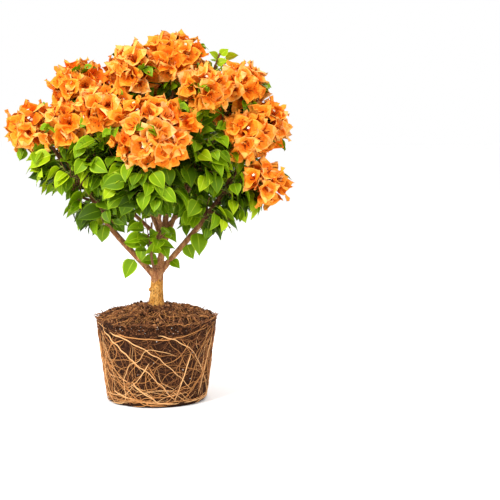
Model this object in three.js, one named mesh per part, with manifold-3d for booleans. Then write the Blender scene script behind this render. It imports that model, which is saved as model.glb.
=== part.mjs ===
// A bougainvillea bush lifted out of its pot, standing on its root ball.
// Millimetres, +Z up. The origin is the centre of the ball's flat underside, and the bush's front faces -Y.
import * as THREE from "three";
import Module from "manifold-3d";

const wasm = await Module();
wasm.setup();

// The root ball keeps the shape of the pot it came out of, with a low mound of soil round the trunk
const ball = {
  footRadius: 98,
  rimRadius: 119,
  rimHeight: 164,
  moundHeight: 186,
  seatRadius: 24,
  bandTop: 158,
  bandFoot: 144,
  bandDepth: 3.5,
  sides: 30,
};
const trunk = { top: [3, 1, 266], footRadius: 16.5, neckRadius: 12.2, topRadius: 9.5, sides: 10, rings: 7 };
const gap = 0.3; // between pieces that meet
const crownHeart = new THREE.Vector3(0, 0, 400); // the point that heads of blossom face away from

// Blossom heads: the limb each one's bough grows on and how far along it, places the bough passes on its way,
// the head's centre and half sizes, its flowers, and the radius at the bough's foot
const heads = {
  top: { on: "trunk", at: 1, via: [[12, 0, 300], [22, 8, 400], [28, 8, 540]], centre: [42, 10, 668],
    size: [82, 62, 62], flowers: 30, foot: 8 },
  left_tip: { on: "trunk", at: 0.74, via: [[-92, 0, 349], [-142, -8, 434], [-196, -2, 496]],
    centre: [-240, 5, 545], size: [56, 50, 46], flowers: 14, foot: 6.6 },
  right_tip: { on: "trunk", at: 0.82, via: [[91, 0, 357], [150, -8, 440], [186, 2, 498]],
    centre: [212, 10, 552], size: [54, 50, 50], flowers: 16, foot: 6.4 },
  back: { on: "top", at: 0.21, via: [[2, 66, 352]], centre: [0, 180, 520], size: [88, 58, 60],
    flowers: 20, foot: 6 },
  front: { on: "top", at: 0.35, via: [[2, -52, 400]], centre: [6, -140, 538], size: [95, 58, 70],
    flowers: 34, foot: 5.4 },
  upper_right: { on: "top", at: 0.27, via: [[78, 6, 470]], centre: [166, 15, 622], size: [56, 54, 58],
    flowers: 20, foot: 5.2 },
  upper_left: { on: "top", at: 0.31, via: [[-52, 2, 476]], centre: [-148, 5, 626], size: [58, 54, 50],
    flowers: 18, foot: 4.8 },
  front_left: { on: "upper_left", at: 0.4, centre: [-92, -92, 584], size: [52, 46, 42], flowers: 14,
    foot: 3.6 },
  back_top: { on: "top", at: 0.62, centre: [5, 98, 618], size: [80, 56, 52], flowers: 18, foot: 4.2 },
  top_left: { on: "top", at: 0.68, centre: [-34, -16, 655], size: [60, 54, 58], flowers: 20, foot: 3.8 },
  right_centre: { on: "upper_right", at: 0.5, centre: [102, -84, 622], size: [50, 42, 38], flowers: 12,
    foot: 3.4 },
  left: { on: "left_tip", at: 0.5, centre: [-170, -40, 545], size: [56, 50, 46], flowers: 14, foot: 3.8 },
  right: { on: "right_tip", at: 0.47, centre: [176, -58, 528], size: [58, 50, 46], flowers: 15, foot: 3.8 },
  low_right: { on: "right_tip", at: 0.6, centre: [208, -50, 440], size: [58, 50, 42], flowers: 10, foot: 3,
    faces: [0.8, -0.6, -0.1] },
  back_left: { on: "back", at: 0.3, centre: [-160, 102, 545], size: [80, 64, 56], flowers: 18, foot: 4.6 },
  back_right: { on: "back", at: 0.38, centre: [156, 98, 542], size: [76, 64, 56], flowers: 18, foot: 4.6 },
};

// Masses of leaves: the limb each one grows on and how far along it, centre, half sizes and twigs
const sprays = {
  neck: { on: "trunk", at: 0.9, centre: [-4, -46, 348], size: [60, 34, 40], twigs: 6 },
  front: { on: "front", at: 0.5, centre: [-8, -112, 442], size: [98, 60, 62], twigs: 26 },
  front_right: { on: "upper_right", at: 0.3, centre: [98, -70, 484], size: [66, 62, 80], twigs: 22 },
  left: { on: "left_tip", at: 0.4, centre: [-178, -26, 468], size: [68, 62, 56], twigs: 24 },
  low_left: { on: "left_tip", at: 0.28, centre: [-108, -28, 386], size: [68, 60, 54], twigs: 20 },
  right: { on: "right_tip", at: 0.36, centre: [154, -22, 430], size: [74, 66, 66], twigs: 32 },
  front_left: { on: "upper_left", at: 0.3, centre: [-98, -62, 482], size: [72, 66, 66], twigs: 30 },
  low_right: { on: "right_tip", at: 0.28, centre: [106, -30, 382], size: [68, 62, 54], twigs: 24 },
  heart: { on: "top", at: 0.58, centre: [-14, -34, 520], size: [100, 78, 80], twigs: 22 },
  back_left: { on: "back_left", at: 0.5, centre: [-112, 96, 450], size: [76, 62, 54], twigs: 16 },
  back_right: { on: "back_right", at: 0.5, centre: [112, 96, 450], size: [76, 62, 54], twigs: 16 },
  back: { on: "back", at: 0.5, centre: [0, 130, 412], size: [86, 60, 60], twigs: 18 },
  sprig: { on: "top", at: 0.88, centre: [116, 26, 680], size: [50, 42, 50], twigs: 8, leafSize: 0.55 },
};

// A flower is a cup of three pointed bracts on a stalk
const flower = { reach: 27, notch: 17, depth: 24, notchDepth: 17, wall: 5, stalk: 1.3 };
const leaf = { length: 60, width: 50, fold: 4, spacing: 15 };
const twig = { foot: 1.5, tip: 1.1, rise: 6 };
const stub = { length: 5, radius: 2.8 };
const knot = 5; // radius of the swelling that a head's stalks fan out from
const goldenTurn = Math.PI * (3 - Math.sqrt(5));

const bark = new THREE.MeshStandardMaterial({ color: 0x9a6b45, roughness: 0.85 });
const paleBark = new THREE.MeshStandardMaterial({ color: 0xc79a5c, roughness: 0.85 });
const soil = new THREE.MeshStandardMaterial({ color: 0x5a3b28, roughness: 0.95 });
const bract = new THREE.MeshStandardMaterial({ color: 0xff8f2e, roughness: 0.6 });
const green = new THREE.MeshStandardMaterial({ color: 0x5d9a1c, roughness: 0.5 });

// A seeded run of numbers from 0 to 1
function seeded(seed) {
  let state = seed;
  return () => {
    state = (state + 0x6d2b79f5) | 0;
    let mixed = Math.imul(state ^ (state >>> 15), 1 | state);
    mixed = (mixed + Math.imul(mixed ^ (mixed >>> 7), 61 | mixed)) ^ mixed;
    return ((mixed ^ (mixed >>> 14)) >>> 0) / 4294967296;
  };
}

const vector = (numbers) => new THREE.Vector3(...numbers);
const mix = THREE.MathUtils.lerp;

// A closed shape given by its corners and triangles
function solid(corners, triangles) {
  const vertProperties = new Float32Array(corners.flatMap((corner) => corner.toArray()));
  const triVerts = new Uint32Array(triangles.flat());
  return new wasm.Manifold(new wasm.Mesh({ numProp: 3, vertProperties, triVerts }));
}

// Rings of corners round a curve, from one share of its length to another
function ringsAlong(curve, from, to, radiusAt, sides, rings) {
  const corners = [];
  let across = new THREE.Vector3(0.31, 0.87, 0.38);
  for (let ring = 0; ring <= rings; ring++) {
    const share = mix(from, to, ring / rings);
    const centre = curve.getPoint(share);
    const way = curve.getTangent(share);
    across = across.clone().addScaledVector(way, -across.dot(way)).normalize();
    const third = way.clone().cross(across);
    for (let side = 0; side < sides; side++) {
      const turn = (2 * Math.PI * side) / sides;
      const spoke = across.clone().multiplyScalar(Math.cos(turn)).addScaledVector(third, Math.sin(turn));
      corners.push(centre.clone().addScaledVector(spoke, radiusAt(share, turn)));
    }
  }
  return corners;
}

// A tapering limb
function limb(curve, from, to, radiusAt, sides, rings) {
  const triangles = [];
  for (let ring = 0; ring < rings; ring++)
    for (let side = 0; side < sides; side++) {
      const a = ring * sides + side;
      const b = ring * sides + ((side + 1) % sides);
      triangles.push([a, b, b + sides], [a, b + sides, a + sides]);
    }
  const last = rings * sides;
  for (let side = 1; side < sides - 1; side++)
    triangles.push([0, side + 1, side], [last, last + side, last + side + 1]);
  return solid(ringsAlong(curve, from, to, radiusAt, sides, rings), triangles);
}

// The root ball's outline: flat foot, leaning side, a hollowed band of bare soil under the rim, and the mound
function ballProfile() {
  const { footRadius, rimRadius, rimHeight, moundHeight, seatRadius, bandTop, bandFoot, bandDepth } = ball;
  const sideRadius = (height) => mix(footRadius, rimRadius, height / rimHeight);
  const points = [
    [0, 0],
    [footRadius - 5, 0],
    [sideRadius(5), 5],
    [sideRadius(bandFoot), bandFoot],
    [sideRadius(bandFoot + 4) - bandDepth, bandFoot + 4],
    [sideRadius(bandTop - 3) - bandDepth, bandTop - 3],
    [sideRadius(bandTop), bandTop],
    [rimRadius - 2, rimHeight],
    [rimRadius - 12, rimHeight + 4],
    [mix(seatRadius, rimRadius, 0.5), mix(rimHeight, moundHeight, 0.62)],
    [seatRadius, moundHeight],
    [0, moundHeight],
  ];
  return points.map(([radius, height]) => new THREE.Vector2(radius, height));
}

// Roots that show on the ball's side: angle from the front and height at each end, how far the run bellies
// upwards, and radius. The first ones are the thick diagonal roots of the front.
const mainRoots = [
  { from: [-58, 142], to: [26, 12], belly: 6, radius: 2.6 },
  { from: [-47, 138], to: [44, 30], belly: 22, radius: 2.4 },
  { from: [-40, 134], to: [62, 150], belly: -12, radius: 2 },
  { from: [5, 136], to: [66, 52], belly: 20, radius: 2.2 },
  { from: [-30, 126], to: [-72, 40], belly: 26, radius: 2 },
  { from: [40, 108], to: [24, 14], belly: -4, radius: 2 },
  { from: [-4, 92], to: [-30, 40], belly: -10, radius: 1.8 },
  { from: [-24, 52], to: [30, 9], belly: -16, radius: 2 },
  { from: [74, 132], to: [56, 16], belly: 8, radius: 2.2 },
  { from: [-78, 120], to: [-60, 12], belly: 6, radius: 2.2 },
];

function rootPoint(angle, height) {
  const radius = mix(ball.footRadius, ball.rimRadius, height / ball.rimHeight) + 0.3;
  const turn = THREE.MathUtils.degToRad(angle);
  return new THREE.Vector3(radius * Math.sin(turn), -radius * Math.cos(turn), height);
}

function rootRun({ from, to, belly, radius }, steps = 6) {
  const points = [];
  for (let step = 0; step <= steps; step++) {
    const share = step / steps;
    const height = mix(from[1], to[1], share) + belly * Math.sin(Math.PI * share);
    points.push(rootPoint(mix(from[0], to[0], share), Math.max(height, radius + 1.5)));
  }
  return limb(new THREE.CatmullRomCurve3(points), 0, 1, (share) => radius * mix(1, 0.7, share), 3, steps);
}

// The same kind of roots go on round the back by a seeded rule
function backRoots(count) {
  const random = seeded(11);
  return Array.from({ length: count }, (_, index) => {
    const angle = 95 + (170 * (index + 0.5)) / count + 20 * (random() - 0.5);
    const lean = (random() < 0.5 ? -1 : 1) * mix(25, 70, random());
    const start = mix(112, 142, random());
    return {
      from: [angle, start],
      to: [angle + lean, mix(12, 60, random())],
      belly: mix(-12, 22, random()),
      radius: mix(1.7, 2.5, random()),
    };
  });
}

function rootBall() {
  const body = new THREE.LatheGeometry(ballProfile(), ball.sides).rotateX(Math.PI / 2);
  const { corners, triangles } = welded(body);
  const pieces = [solid(corners, triangles)];
  for (const root of [...mainRoots, ...backRoots(6)]) pieces.push(rootRun(root));
  return join(pieces);
}

// The corners and triangles of a geometry, with the corners that share a place made one
function welded(geometry) {
  const place = geometry.getAttribute("position");
  const seen = new Map();
  const corners = [];
  const corner = (index) => {
    const point = new THREE.Vector3().fromBufferAttribute(place, index);
    const key = point.toArray().map((number) => Math.round(number * 1000)).join();
    if (!seen.has(key)) seen.set(key, corners.push(point) - 1);
    return seen.get(key);
  };
  const order = geometry.index ? [...geometry.index.array] : [...Array(place.count).keys()];
  const triangles = [];
  for (let index = 0; index < order.length; index += 3) {
    const triangle = order.slice(index, index + 3).map(corner);
    if (new Set(triangle).size === 3) triangles.push(triangle);
  }
  return { corners, triangles };
}

// One closed solid out of many that touch. Scraps that touch nothing are dropped.
function join(pieces) {
  const bodies = wasm.Manifold.union(pieces).decompose();
  return bodies.reduce((largest, body) => (body.volume() > largest.volume() ? body : largest));
}

// Limbs: each is a curve with a radius that tapers along it
const trunkFoot = new THREE.Vector3(0, 0, ball.moundHeight + gap);
const trunkBend = new THREE.Vector3(0, 0, 226);
const trunkCurve = new THREE.QuadraticBezierCurve3(trunkFoot, trunkBend, vector(trunk.top));

function trunkRadius(share, turn = 0) {
  const nearFoot = Math.pow(1 - share, 5);
  const flare = (trunk.footRadius - trunk.neckRadius) * nearFoot;
  const lobes = 1 + 0.14 * nearFoot * Math.cos(4 * turn);
  return (mix(trunk.neckRadius, trunk.topRadius, share) + flare) * lobes;
}

const limbs = { trunk: { curve: trunkCurve, radiusAt: trunkRadius, children: [], stubs: [] } };

// The way a head of blossom faces: out from the crown's heart, and up
function facing(centre) {
  const out = vector(centre).sub(crownHeart).normalize();
  out.z += 0.35;
  return out.normalize();
}

const along = (size, way) =>
  1 / Math.hypot(way.x / size[0], way.y / size[1], way.z / size[2]); // half size of a mass that way

function addLimb(name, { on, at, via = [], foot }, tip) {
  const parent = limbs[on];
  const start = parent.curve.getPoint(at);
  const places = via.length ? via.map(vector) : [bowed(start, tip)];
  const curve = new THREE.CatmullRomCurve3([start, ...places, tip], false, "catmullrom", 0.5);
  const end = mix(1.4, foot, 0.36);
  const made = { name, curve, children: [], stubs: [], radiusAt: (share) => mix(foot, end, share) };
  parent.children.push(made);
  limbs[name] = made;
}

// The middle of a limb that leaves sideways and then rises
function bowed(start, tip) {
  const out = tip.clone().sub(start);
  const middle = start.clone().addScaledVector(out, 0.5);
  return middle.add(new THREE.Vector3(out.x * 0.1, out.y * 0.1, -out.length() * 0.05));
}

// How far along a limb is clear of the limb it grows on and of what else grows there. Up to there it belongs
// to that limb, as its collar.
function collarShare(made, parent) {
  const others = [parent, ...parent.children.filter((other) => other !== made)];
  for (let share = 0.02; share < 0.9; share += 0.005) {
    const point = made.curve.getPoint(share);
    const room = made.radiusAt(share) + 1.5;
    const clear = others.every((other) =>
      samples(other).every(([place, radius]) => place.distanceTo(point) > radius + room),
    );
    if (clear) return share + runShare(made.curve, share, 1);
  }
  throw new Error(made.name + " never leaves the limb it grows on");
}

// The change of share that a short run along a curve stands for
function runShare(curve, share, run) {
  return (0.01 * run) / curve.getPoint(share).distanceTo(curve.getPoint(share + 0.01));
}

function samples(one, steps = 60) {
  if (!one.sampled)
    one.sampled = Array.from({ length: steps + 1 }, (_, step) => [
      one.curve.getPoint(step / steps),
      one.radiusAt(step / steps),
    ]);
  return one.sampled;
}

for (const [name, head] of Object.entries(heads)) {
  head.facing = head.faces ? vector(head.faces).normalize() : facing(head.centre);
  const below = along(head.size, head.facing) * 0.72;
  addLimb(name, head, vector(head.centre).addScaledVector(head.facing, -below));
}

for (const parent of Object.values(limbs))
  for (const made of parent.children) made.collar = collarShare(made, parent);

// A mass of leaves grows from a short stub on its limb, on the side that faces the mass
for (const spray of Object.values(sprays)) {
  const parent = limbs[spray.on];
  const start = parent.curve.getPoint(spray.at);
  const run = parent.curve.getTangent(spray.at);
  const way = vector(spray.centre).sub(start).normalize();
  way.addScaledVector(run, -0.8 * way.dot(run)).normalize();
  const end = start.clone().addScaledVector(way, parent.radiusAt(spray.at) + stub.length);
  spray.stub = { curve: new THREE.LineCurve3(start, end), collar: 1, radiusAt: () => stub.radius };
  parent.stubs.push(spray.stub);
}

function limbSolid(one) {
  const sides = one.name ? 5 : trunk.sides;
  const rings = one.name ? Math.max(2, Math.round(one.curve.getLength() / 60)) : trunk.rings;
  const start = one.name ? one.collar + runShare(one.curve, one.collar, gap) : 0;
  const pieces = [limb(one.curve, start, 1, one.radiusAt, sides, rings)];
  for (const child of one.children) pieces.push(limb(child.curve, 0, child.collar, child.radiusAt, 5, 1));
  for (const child of one.stubs) pieces.push(limb(child.curve, 0, 1, child.radiusAt, 5, 1));
  return join(pieces);
}

// Each mass keeps to a space of its own: the points nearer to it than to any other, by centre and size
const masses = [];
for (const [name, head] of Object.entries(heads))
  masses.push({ ...head, name: "blossom_" + name, from: limbs[name] });
for (const [name, spray] of Object.entries(sprays))
  masses.push({ ...spray, name: "foliage_" + name, from: spray.stub });
masses.forEach((mass, index) => {
  mass.seed = index + 1;
  mass.middle = vector(mass.centre);
  mass.weight = Math.pow((mass.size[0] + mass.size[1] + mass.size[2]) / 3, 2);
  mass.stem = massStem(mass);
});

// A mass's own stem goes on from the tip of its bough or stub
function massStem(mass) {
  const tip = mass.from.curve.getPoint(1);
  const way = mass.from.curve.getTangent(1);
  const start = tip.addScaledVector(way, gap);
  const end = mass.middle.clone();
  if (mass.facing) end.addScaledVector(mass.facing, -0.3 * along(mass.size, mass.facing));
  else {
    const onwards = end.clone().sub(start).normalize();
    end.addScaledVector(onwards, 0.4 * along(mass.size, onwards));
  }
  const bend = start.clone().addScaledVector(way, end.distanceTo(start) * 0.42);
  const foot = mass.from.radiusAt(1);
  return {
    curve: new THREE.QuadraticBezierCurve3(start, bend, end),
    radiusAt: (share) => mix(foot, 2.1, share),
  };
}

function inOwnSpace(mass, corners) {
  const margin = 0.6;
  return corners.every((corner) => {
    const own = corner.distanceToSquared(mass.middle) - mass.weight;
    return masses.every((other) => {
      if (other === mass) return true;
      const apart = other.middle.distanceTo(mass.middle);
      return (corner.distanceToSquared(other.middle) - other.weight - own) / (2 * apart) > margin;
    });
  });
}

function touching(one, other) {
  const [a, b] = [one.boundingBox(), other.boundingBox()];
  const apart = [0, 1, 2].some((axis) => a.max[axis] < b.min[axis] || b.max[axis] < a.min[axis]);
  return !apart && one.intersect(other).volume() > 0;
}

// The limbs and the masses' stems, a little thicker than they are, for pieces of each mass to keep clear of
const obstacles = [...Object.values(limbs), ...masses.map((mass) => ({ ...mass.stem, mass }))].map((one) => ({
  mass: one.mass,
  made: limb(one.curve, 0, 1, (share) => one.radiusAt(share) + 0.8, 8, 8),
}));
const blocked = (mass, made) => obstacles.some((one) => one.mass !== mass && touching(one.made, made));

// A leaf folded a little along its midrib: its tip, and the two edges where it is widest
function leafPoints({ foot, way, face, length }) {
  const side = face.clone().cross(way);
  const half = (leaf.width * length) / leaf.length / 2;
  const belly = foot.clone().addScaledVector(way, length * 0.42).addScaledVector(face, leaf.fold);
  const tip = foot.clone().addScaledVector(way, length);
  return [tip, belly.clone().addScaledVector(side, -half), belly.clone().addScaledVector(side, half)];
}

// The room a leaf takes up, from a little way out of its twig and with a margin all round
function leafRoom(choice) {
  const { foot, way, face } = choice;
  const [tip, left, right] = leafPoints(choice);
  const belly = left.clone().add(right).multiplyScalar(0.5);
  const corners = [
    foot.clone().addScaledVector(way, 2),
    tip.addScaledVector(way, 2),
    left.add(left.clone().sub(belly).setLength(1.5)),
    right.add(right.clone().sub(belly).setLength(1.5)),
    belly.clone().addScaledVector(face, 1.5),
    belly.clone().addScaledVector(face, -leaf.fold - 1.5),
  ];
  return solid(corners, leafRoomTriangles);
}
const leafRoomTriangles = [
  [0, 2, 4],
  [4, 2, 1],
  [0, 4, 3],
  [4, 1, 3],
  [0, 5, 2],
  [5, 1, 2],
  [0, 3, 5],
  [5, 3, 1],
];

// Leaves hang out and down from the twig with their faces up and outwards. Where a leaf has no room, smaller
// ones and ones turned another way stand in.
function leafChoices(curve, share, side, fullLength, random) {
  const foot = curve.getPoint(share);
  const forward = curve.getTangent(share);
  const across = forward.clone().cross(new THREE.Vector3(0, 0, 1));
  const out = new THREE.Vector3(foot.x, foot.y, 0);
  out.multiplyScalar(1 / Math.max(out.length(), 1));
  const around = 2 * Math.PI * random();
  const up = mix(0.3, 0.8, random());
  const droop = mix(0.3, 1.2, random());
  const length = fullLength * mix(0.8, 1.12, random());
  const choices = [];
  for (const shrink of [1, 0.84, 0.7])
    for (const turned of [side, -side, 0.15 * side])
      for (const hang of [droop, 1.5 - droop]) {
        const way = forward.clone().multiplyScalar(0.45).addScaledVector(across, turned);
        way.addScaledVector(out, 0.2);
        way.z -= hang;
        way.normalize();
        const face = new THREE.Vector3(Math.cos(around), Math.sin(around), 0).multiplyScalar(0.6);
        face.addScaledVector(out, 0.7);
        face.z += up;
        face.addScaledVector(way, -face.dot(way));
        if (face.length() < 0.1) face.set(0.1, 0.1, 1).addScaledVector(way, -way.z);
        choices.push({ foot, way, face: face.normalize(), length: length * shrink });
      }
  return choices;
}

// A stem, its twigs and their leaves as one closed shape. Each is three-sided and runs from ring to ring, and
// what grows on it opens out of a small triangle on the side it leaves from.
function growOn(shape, base, { curve, radiusAt, shoots, last }) {
  const { corners, triangles } = shape;
  const centre = new THREE.Vector3();
  for (const index of base) centre.addScaledVector(corners[index], 1 / 3);
  const spoke = corners[base[0]].clone().sub(centre);
  let ring = base;
  [...shoots.map((shoot) => shoot.share), 1].forEach((share, index) => {
    const next = ringAt(shape, curve, share, radiusAt(share), spoke);
    joinRings(shape, ring, next, curve.getTangent(share), index ? shoots[index - 1] : null);
    ring = next;
  });
  if (!last) triangles.push(ring);
  else {
    const faceward = (index) => corners[index].clone().sub(curve.getPoint(1)).dot(last.face);
    while (faceward(ring[2]) < Math.max(faceward(ring[0]), faceward(ring[1]))) ring.push(ring.shift());
    openLeaf(shape, ring, last);
  }
}

function ringAt({ corners }, curve, share, radius, spoke) {
  const way = curve.getTangent(share);
  spoke.addScaledVector(way, -spoke.dot(way)).normalize();
  const third = way.clone().cross(spoke);
  return [0, 1, 2].map((side) => {
    const turn = (2 * Math.PI * side) / 3;
    const corner = curve.getPoint(share).addScaledVector(spoke, radius * Math.cos(turn));
    return corners.push(corner.addScaledVector(third, radius * Math.sin(turn))) - 1;
  });
}

function joinRings(shape, ring, next, forward, shoot) {
  const { corners, triangles } = shape;
  const sides = [0, 1, 2].map((side) => {
    const after = (side + 1) % 3;
    return [ring[side], ring[after], next[after], next[side]];
  });
  const facingShoot = ([a, b]) => {
    const edge = corners[b].clone().sub(corners[a]).normalize();
    return edge.cross(forward).dot(shoot.way);
  };
  if (shoot) sides.sort((one, other) => facingShoot(other) - facingShoot(one));
  sides.forEach(([a, b, c, d], order) => {
    if (!shoot || order) {
      triangles.push([a, b, c], [a, c, d]);
      return;
    }
    const near = corners[a].clone().add(corners[b]).multiplyScalar(0.5);
    const far = corners[c].clone().add(corners[d]).multiplyScalar(0.5);
    const p = corners.push(near.clone().lerp(far, Math.min(4 / near.distanceTo(far), 0.8))) - 1;
    triangles.push([b, c, p], [c, d, p], [d, a, p]);
    if (shoot.curve) growOn(shape, [a, b, p], shoot);
    else openLeaf(shape, [a, b, p], shoot, shoot.face.dot(forward) > 0);
  });
}

// A leaf opens out of the triangle a, b, p: its upper face goes on from p, or else from the edge a, b
function openLeaf({ corners, triangles }, [a, b, p], choice, upperAtP = true) {
  const [tip, left, right] = leafPoints(choice).map((point) => corners.push(point) - 1);
  triangles.push([right, left, tip]);
  if (upperAtP) {
    triangles.push([a, b, tip], [b, p, right], [p, a, left], [p, left, right]);
    triangles.push([left, a, tip], [tip, b, right]);
  } else {
    triangles.push([a, b, left], [a, left, right], [b, p, left], [p, a, right]);
    triangles.push([left, p, tip], [p, right, tip]);
  }
}

// A mass of leaves: twigs leave the stem in turn, reach for the edge of the mass, and carry leaves on both
// sides
function growSpray(mass) {
  const { curve: stem, radiusAt } = mass.stem;
  const solidStem = limb(stem, 0, 1, radiusAt, 5, 2);
  const fullLength = leaf.length * (mass.leafSize ?? 1);
  const twigs = [];
  for (let index = 0; index < mass.twigs; index++) {
    const random = seeded(mass.seed * 1000 + index);
    const share = mix(0.12, 0.93, (index + 0.6) / mass.twigs);
    const start = stem.getPoint(share);
    const height = 1 - (2 * (index + 0.5)) / mass.twigs;
    const turn = index * goldenTurn * 2 + mass.seed * 1.7 + 0.4 * (random() - 0.5);
    const level = Math.sqrt(1 - height * height);
    const way = new THREE.Vector3(level * Math.cos(turn), level * Math.sin(turn), height * 0.9).normalize();
    const reach = along(mass.size, way) * mix(0.66, 0.9, random());
    for (const shrink of [1, 0.75, 0.55]) {
      const end = mass.middle.clone().addScaledVector(way, reach * shrink);
      const middle = start.clone().lerp(end, 0.5).add(new THREE.Vector3(0, 0, twig.rise));
      const curve = new THREE.QuadraticBezierCurve3(start, middle, end);
      if (!inOwnSpace(mass, [start, middle, end])) continue;
      const radiusAt = (part) => mix(twig.foot, twig.tip, part);
      const bare = limb(curve, 0, 1, radiusAt, 4, 2);
      const free = limb(curve, 0.2, 1, radiusAt, 4, 2);
      if (touching(free, solidStem) || blocked(mass, bare)) continue;
      if (twigs.some((one) => touching(one.free, bare) || touching(one.bare, free))) continue;
      twigs.push({ share, way: curve.getTangent(0.2), curve, radiusAt, bare, free, random, shoots: [] });
      break;
    }
  }
  const rooms = [];
  const stems = [solidStem, ...twigs.map((one) => one.bare)];
  const leafAt = (curve, share, side, random) => {
    const found = leafChoices(curve, share, side, fullLength, random).find((choice) => {
      const [tip, left, right] = leafPoints(choice);
      if (!inOwnSpace(mass, [tip, left, right])) return false;
      const room = leafRoom(choice);
      return ![...stems, ...rooms].some((other) => touching(other, room)) && !blocked(mass, room);
    });
    if (found) rooms.push(leafRoom(found));
    return found && { ...found, share };
  };
  for (const one of twigs) {
    one.last = leafAt(one.curve, 1, 0.2, one.random);
    const count = Math.max(1, Math.round((one.curve.getLength() * 0.75) / leaf.spacing));
    for (let step = 0; step < count; step++) {
      const side = (step % 2 ? 1 : -1) * mix(0.4, 1, one.random());
      const found = leafAt(one.curve, mix(0.22, 0.86, step / count), side, one.random);
      if (found) one.shoots.push(found);
    }
  }
  const shoots = twigs.filter((one) => one.last || one.shoots.length);
  return { curve: stem, radiusAt, shoots, last: leafAt(stem, 1, 0.2, seeded(mass.seed)) };
}

function spraySolid(mass) {
  const shape = { corners: [], triangles: [] };
  const spoke = new THREE.Vector3(0.31, 0.87, 0.38);
  const foot = ringAt(shape, mass.stem.curve, 0, mass.stem.radiusAt(0), spoke);
  shape.triangles.push([foot[0], foot[2], foot[1]]);
  growOn(shape, foot, growSpray(mass));
  return join([solid(shape.corners, shape.triangles)]);
}

// A flower's cup of three pointed bracts: the three corners of its foot, then tips and notches in turn, and
// the point inside where the bracts meet
function cupPoints({ foot, way, spoke, size }) {
  const third = way.clone().cross(spoke);
  const place = (height, radius, turn) =>
    foot
      .clone()
      .addScaledVector(way, height)
      .addScaledVector(spoke, radius * Math.cos(turn))
      .addScaledVector(third, radius * Math.sin(turn));
  const turns = Array.from({ length: 6 }, (_, index) => (index * Math.PI) / 3);
  const ring = [0, 2, 4].map((index) => place(0, flower.stalk, turns[index]));
  const rim = turns.map((turn, index) =>
    index % 2
      ? place(size * flower.notchDepth, size * flower.notch, turn)
      : place(size * flower.depth, size * flower.reach, turn),
  );
  return [...ring, ...rim, place(size * flower.wall, 0, 0)];
}

const cupTriangles = [0, 1, 2].flatMap((index) => {
  const next = (index + 1) % 3;
  const [tip, notch, nextTip] = [3 + 2 * index, 4 + 2 * index, 3 + 2 * next];
  return [
    [index, notch, tip],
    [index, next, notch],
    [next, nextTip, notch],
    [9, tip, notch],
    [9, notch, nextTip],
  ];
});

// The knot that a head's stalks fan out from: each stalk goes on from one of its faces
function headKnot(mass) {
  const hub = mass.stem.curve.getPoint(1);
  const { corners, triangles } = welded(new THREE.IcosahedronGeometry(knot, mass.flowers > 13 ? 1 : 0));
  const faces = triangles.map((triangle) => {
    const middle = triangle.reduce((sum, index) => sum.add(corners[index]), new THREE.Vector3());
    return { triangle, way: middle.normalize(), taken: false };
  });
  for (const corner of corners) corner.add(hub);
  return { hub, corners, faces };
}

// A head of blossom: flowers face away from the head's middle, on a golden spiral
function growHead(mass, { hub, corners, faces }) {
  const across = new THREE.Vector3(0.2, 0.3, 0.93).cross(mass.facing).normalize();
  const third = mass.facing.clone().cross(across);
  const lowest = Math.cos(THREE.MathUtils.degToRad(122));
  const flowers = [];
  for (let index = 0; index < mass.flowers; index++) {
    const random = seeded(mass.seed * 1000 + index);
    const height = 1 - ((1 - lowest) * (index + 0.5)) / mass.flowers;
    const turn = index * goldenTurn + mass.seed + 0.35 * (random() - 0.5);
    const level = Math.sqrt(1 - height * height);
    const way = mass.facing.clone().multiplyScalar(height);
    way.addScaledVector(across, level * Math.cos(turn)).addScaledVector(third, level * Math.sin(turn));
    const fullSize = mix(0.88, 1.1, random());
    const reach = along(mass.size, way) - fullSize * flower.depth;
    const free = faces.filter((face) => !face.taken);
    if (!free.length) break;
    const face = free.reduce((best, other) => (other.way.dot(way) > best.way.dot(way) ? other : best));
    const spoke = corners[face.triangle[0]].clone().sub(hub);
    spoke.addScaledVector(way, -spoke.dot(way)).normalize();
    const placed = [1, 0.8, 0.62].some((pulled) =>
      [1, 0.88, 0.76, 0.64].some((shrink) => {
        const foot = mass.middle.clone().addScaledVector(way, Math.max(reach * pulled, 14));
        const one = { foot, way, spoke, size: fullSize * shrink };
        const points = cupPoints(one);
        if (!inOwnSpace(mass, points)) return false;
        const cup = solid(points, [...cupTriangles, [0, 2, 1]]);
        const stalk = limb(new THREE.LineCurve3(hub, foot), 0.1, 0.97, () => flower.stalk * 1.3, 3, 1);
        const crowded = flowers.some((other) =>
          touching(other.cup, cup) || touching(other.stalk, cup) || touching(other.cup, stalk));
        if (crowded || blocked(mass, cup) || blocked(mass, stalk)) return false;
        flowers.push({ ...one, face, points, cup, stalk });
        return true;
      }),
    );
    face.taken = placed;
  }
  return flowers;
}

function headSolid(mass) {
  const made = headKnot(mass);
  const { corners } = made;
  const triangles = [];
  for (const { points, face } of growHead(mass, made)) {
    const first = corners.push(...points) - points.length;
    for (let index = 0; index < 3; index++) {
      const next = (index + 1) % 3;
      const [a, b] = [face.triangle[index], face.triangle[next]];
      triangles.push([a, b, first + next], [a, first + next, first + index]);
    }
    for (const triangle of cupTriangles) triangles.push(triangle.map((index) => index + first));
  }
  for (const face of made.faces) if (!face.taken) triangles.push(face.triangle);
  return join([limb(mass.stem.curve, 0, 1, mass.stem.radiusAt, 5, 1), solid(corners, triangles)]);
}

// One named mesh of a finished solid
function mesh(name, made, material) {
  const { vertProperties, triVerts } = made.getMesh();
  const geometry = new THREE.BufferGeometry();
  geometry.setAttribute("position", new THREE.BufferAttribute(vertProperties, 3));
  geometry.setIndex(new THREE.BufferAttribute(triVerts, 1));
  geometry.computeVertexNormals();
  const piece = new THREE.Mesh(geometry, material);
  piece.name = name;
  return piece;
}

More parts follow.
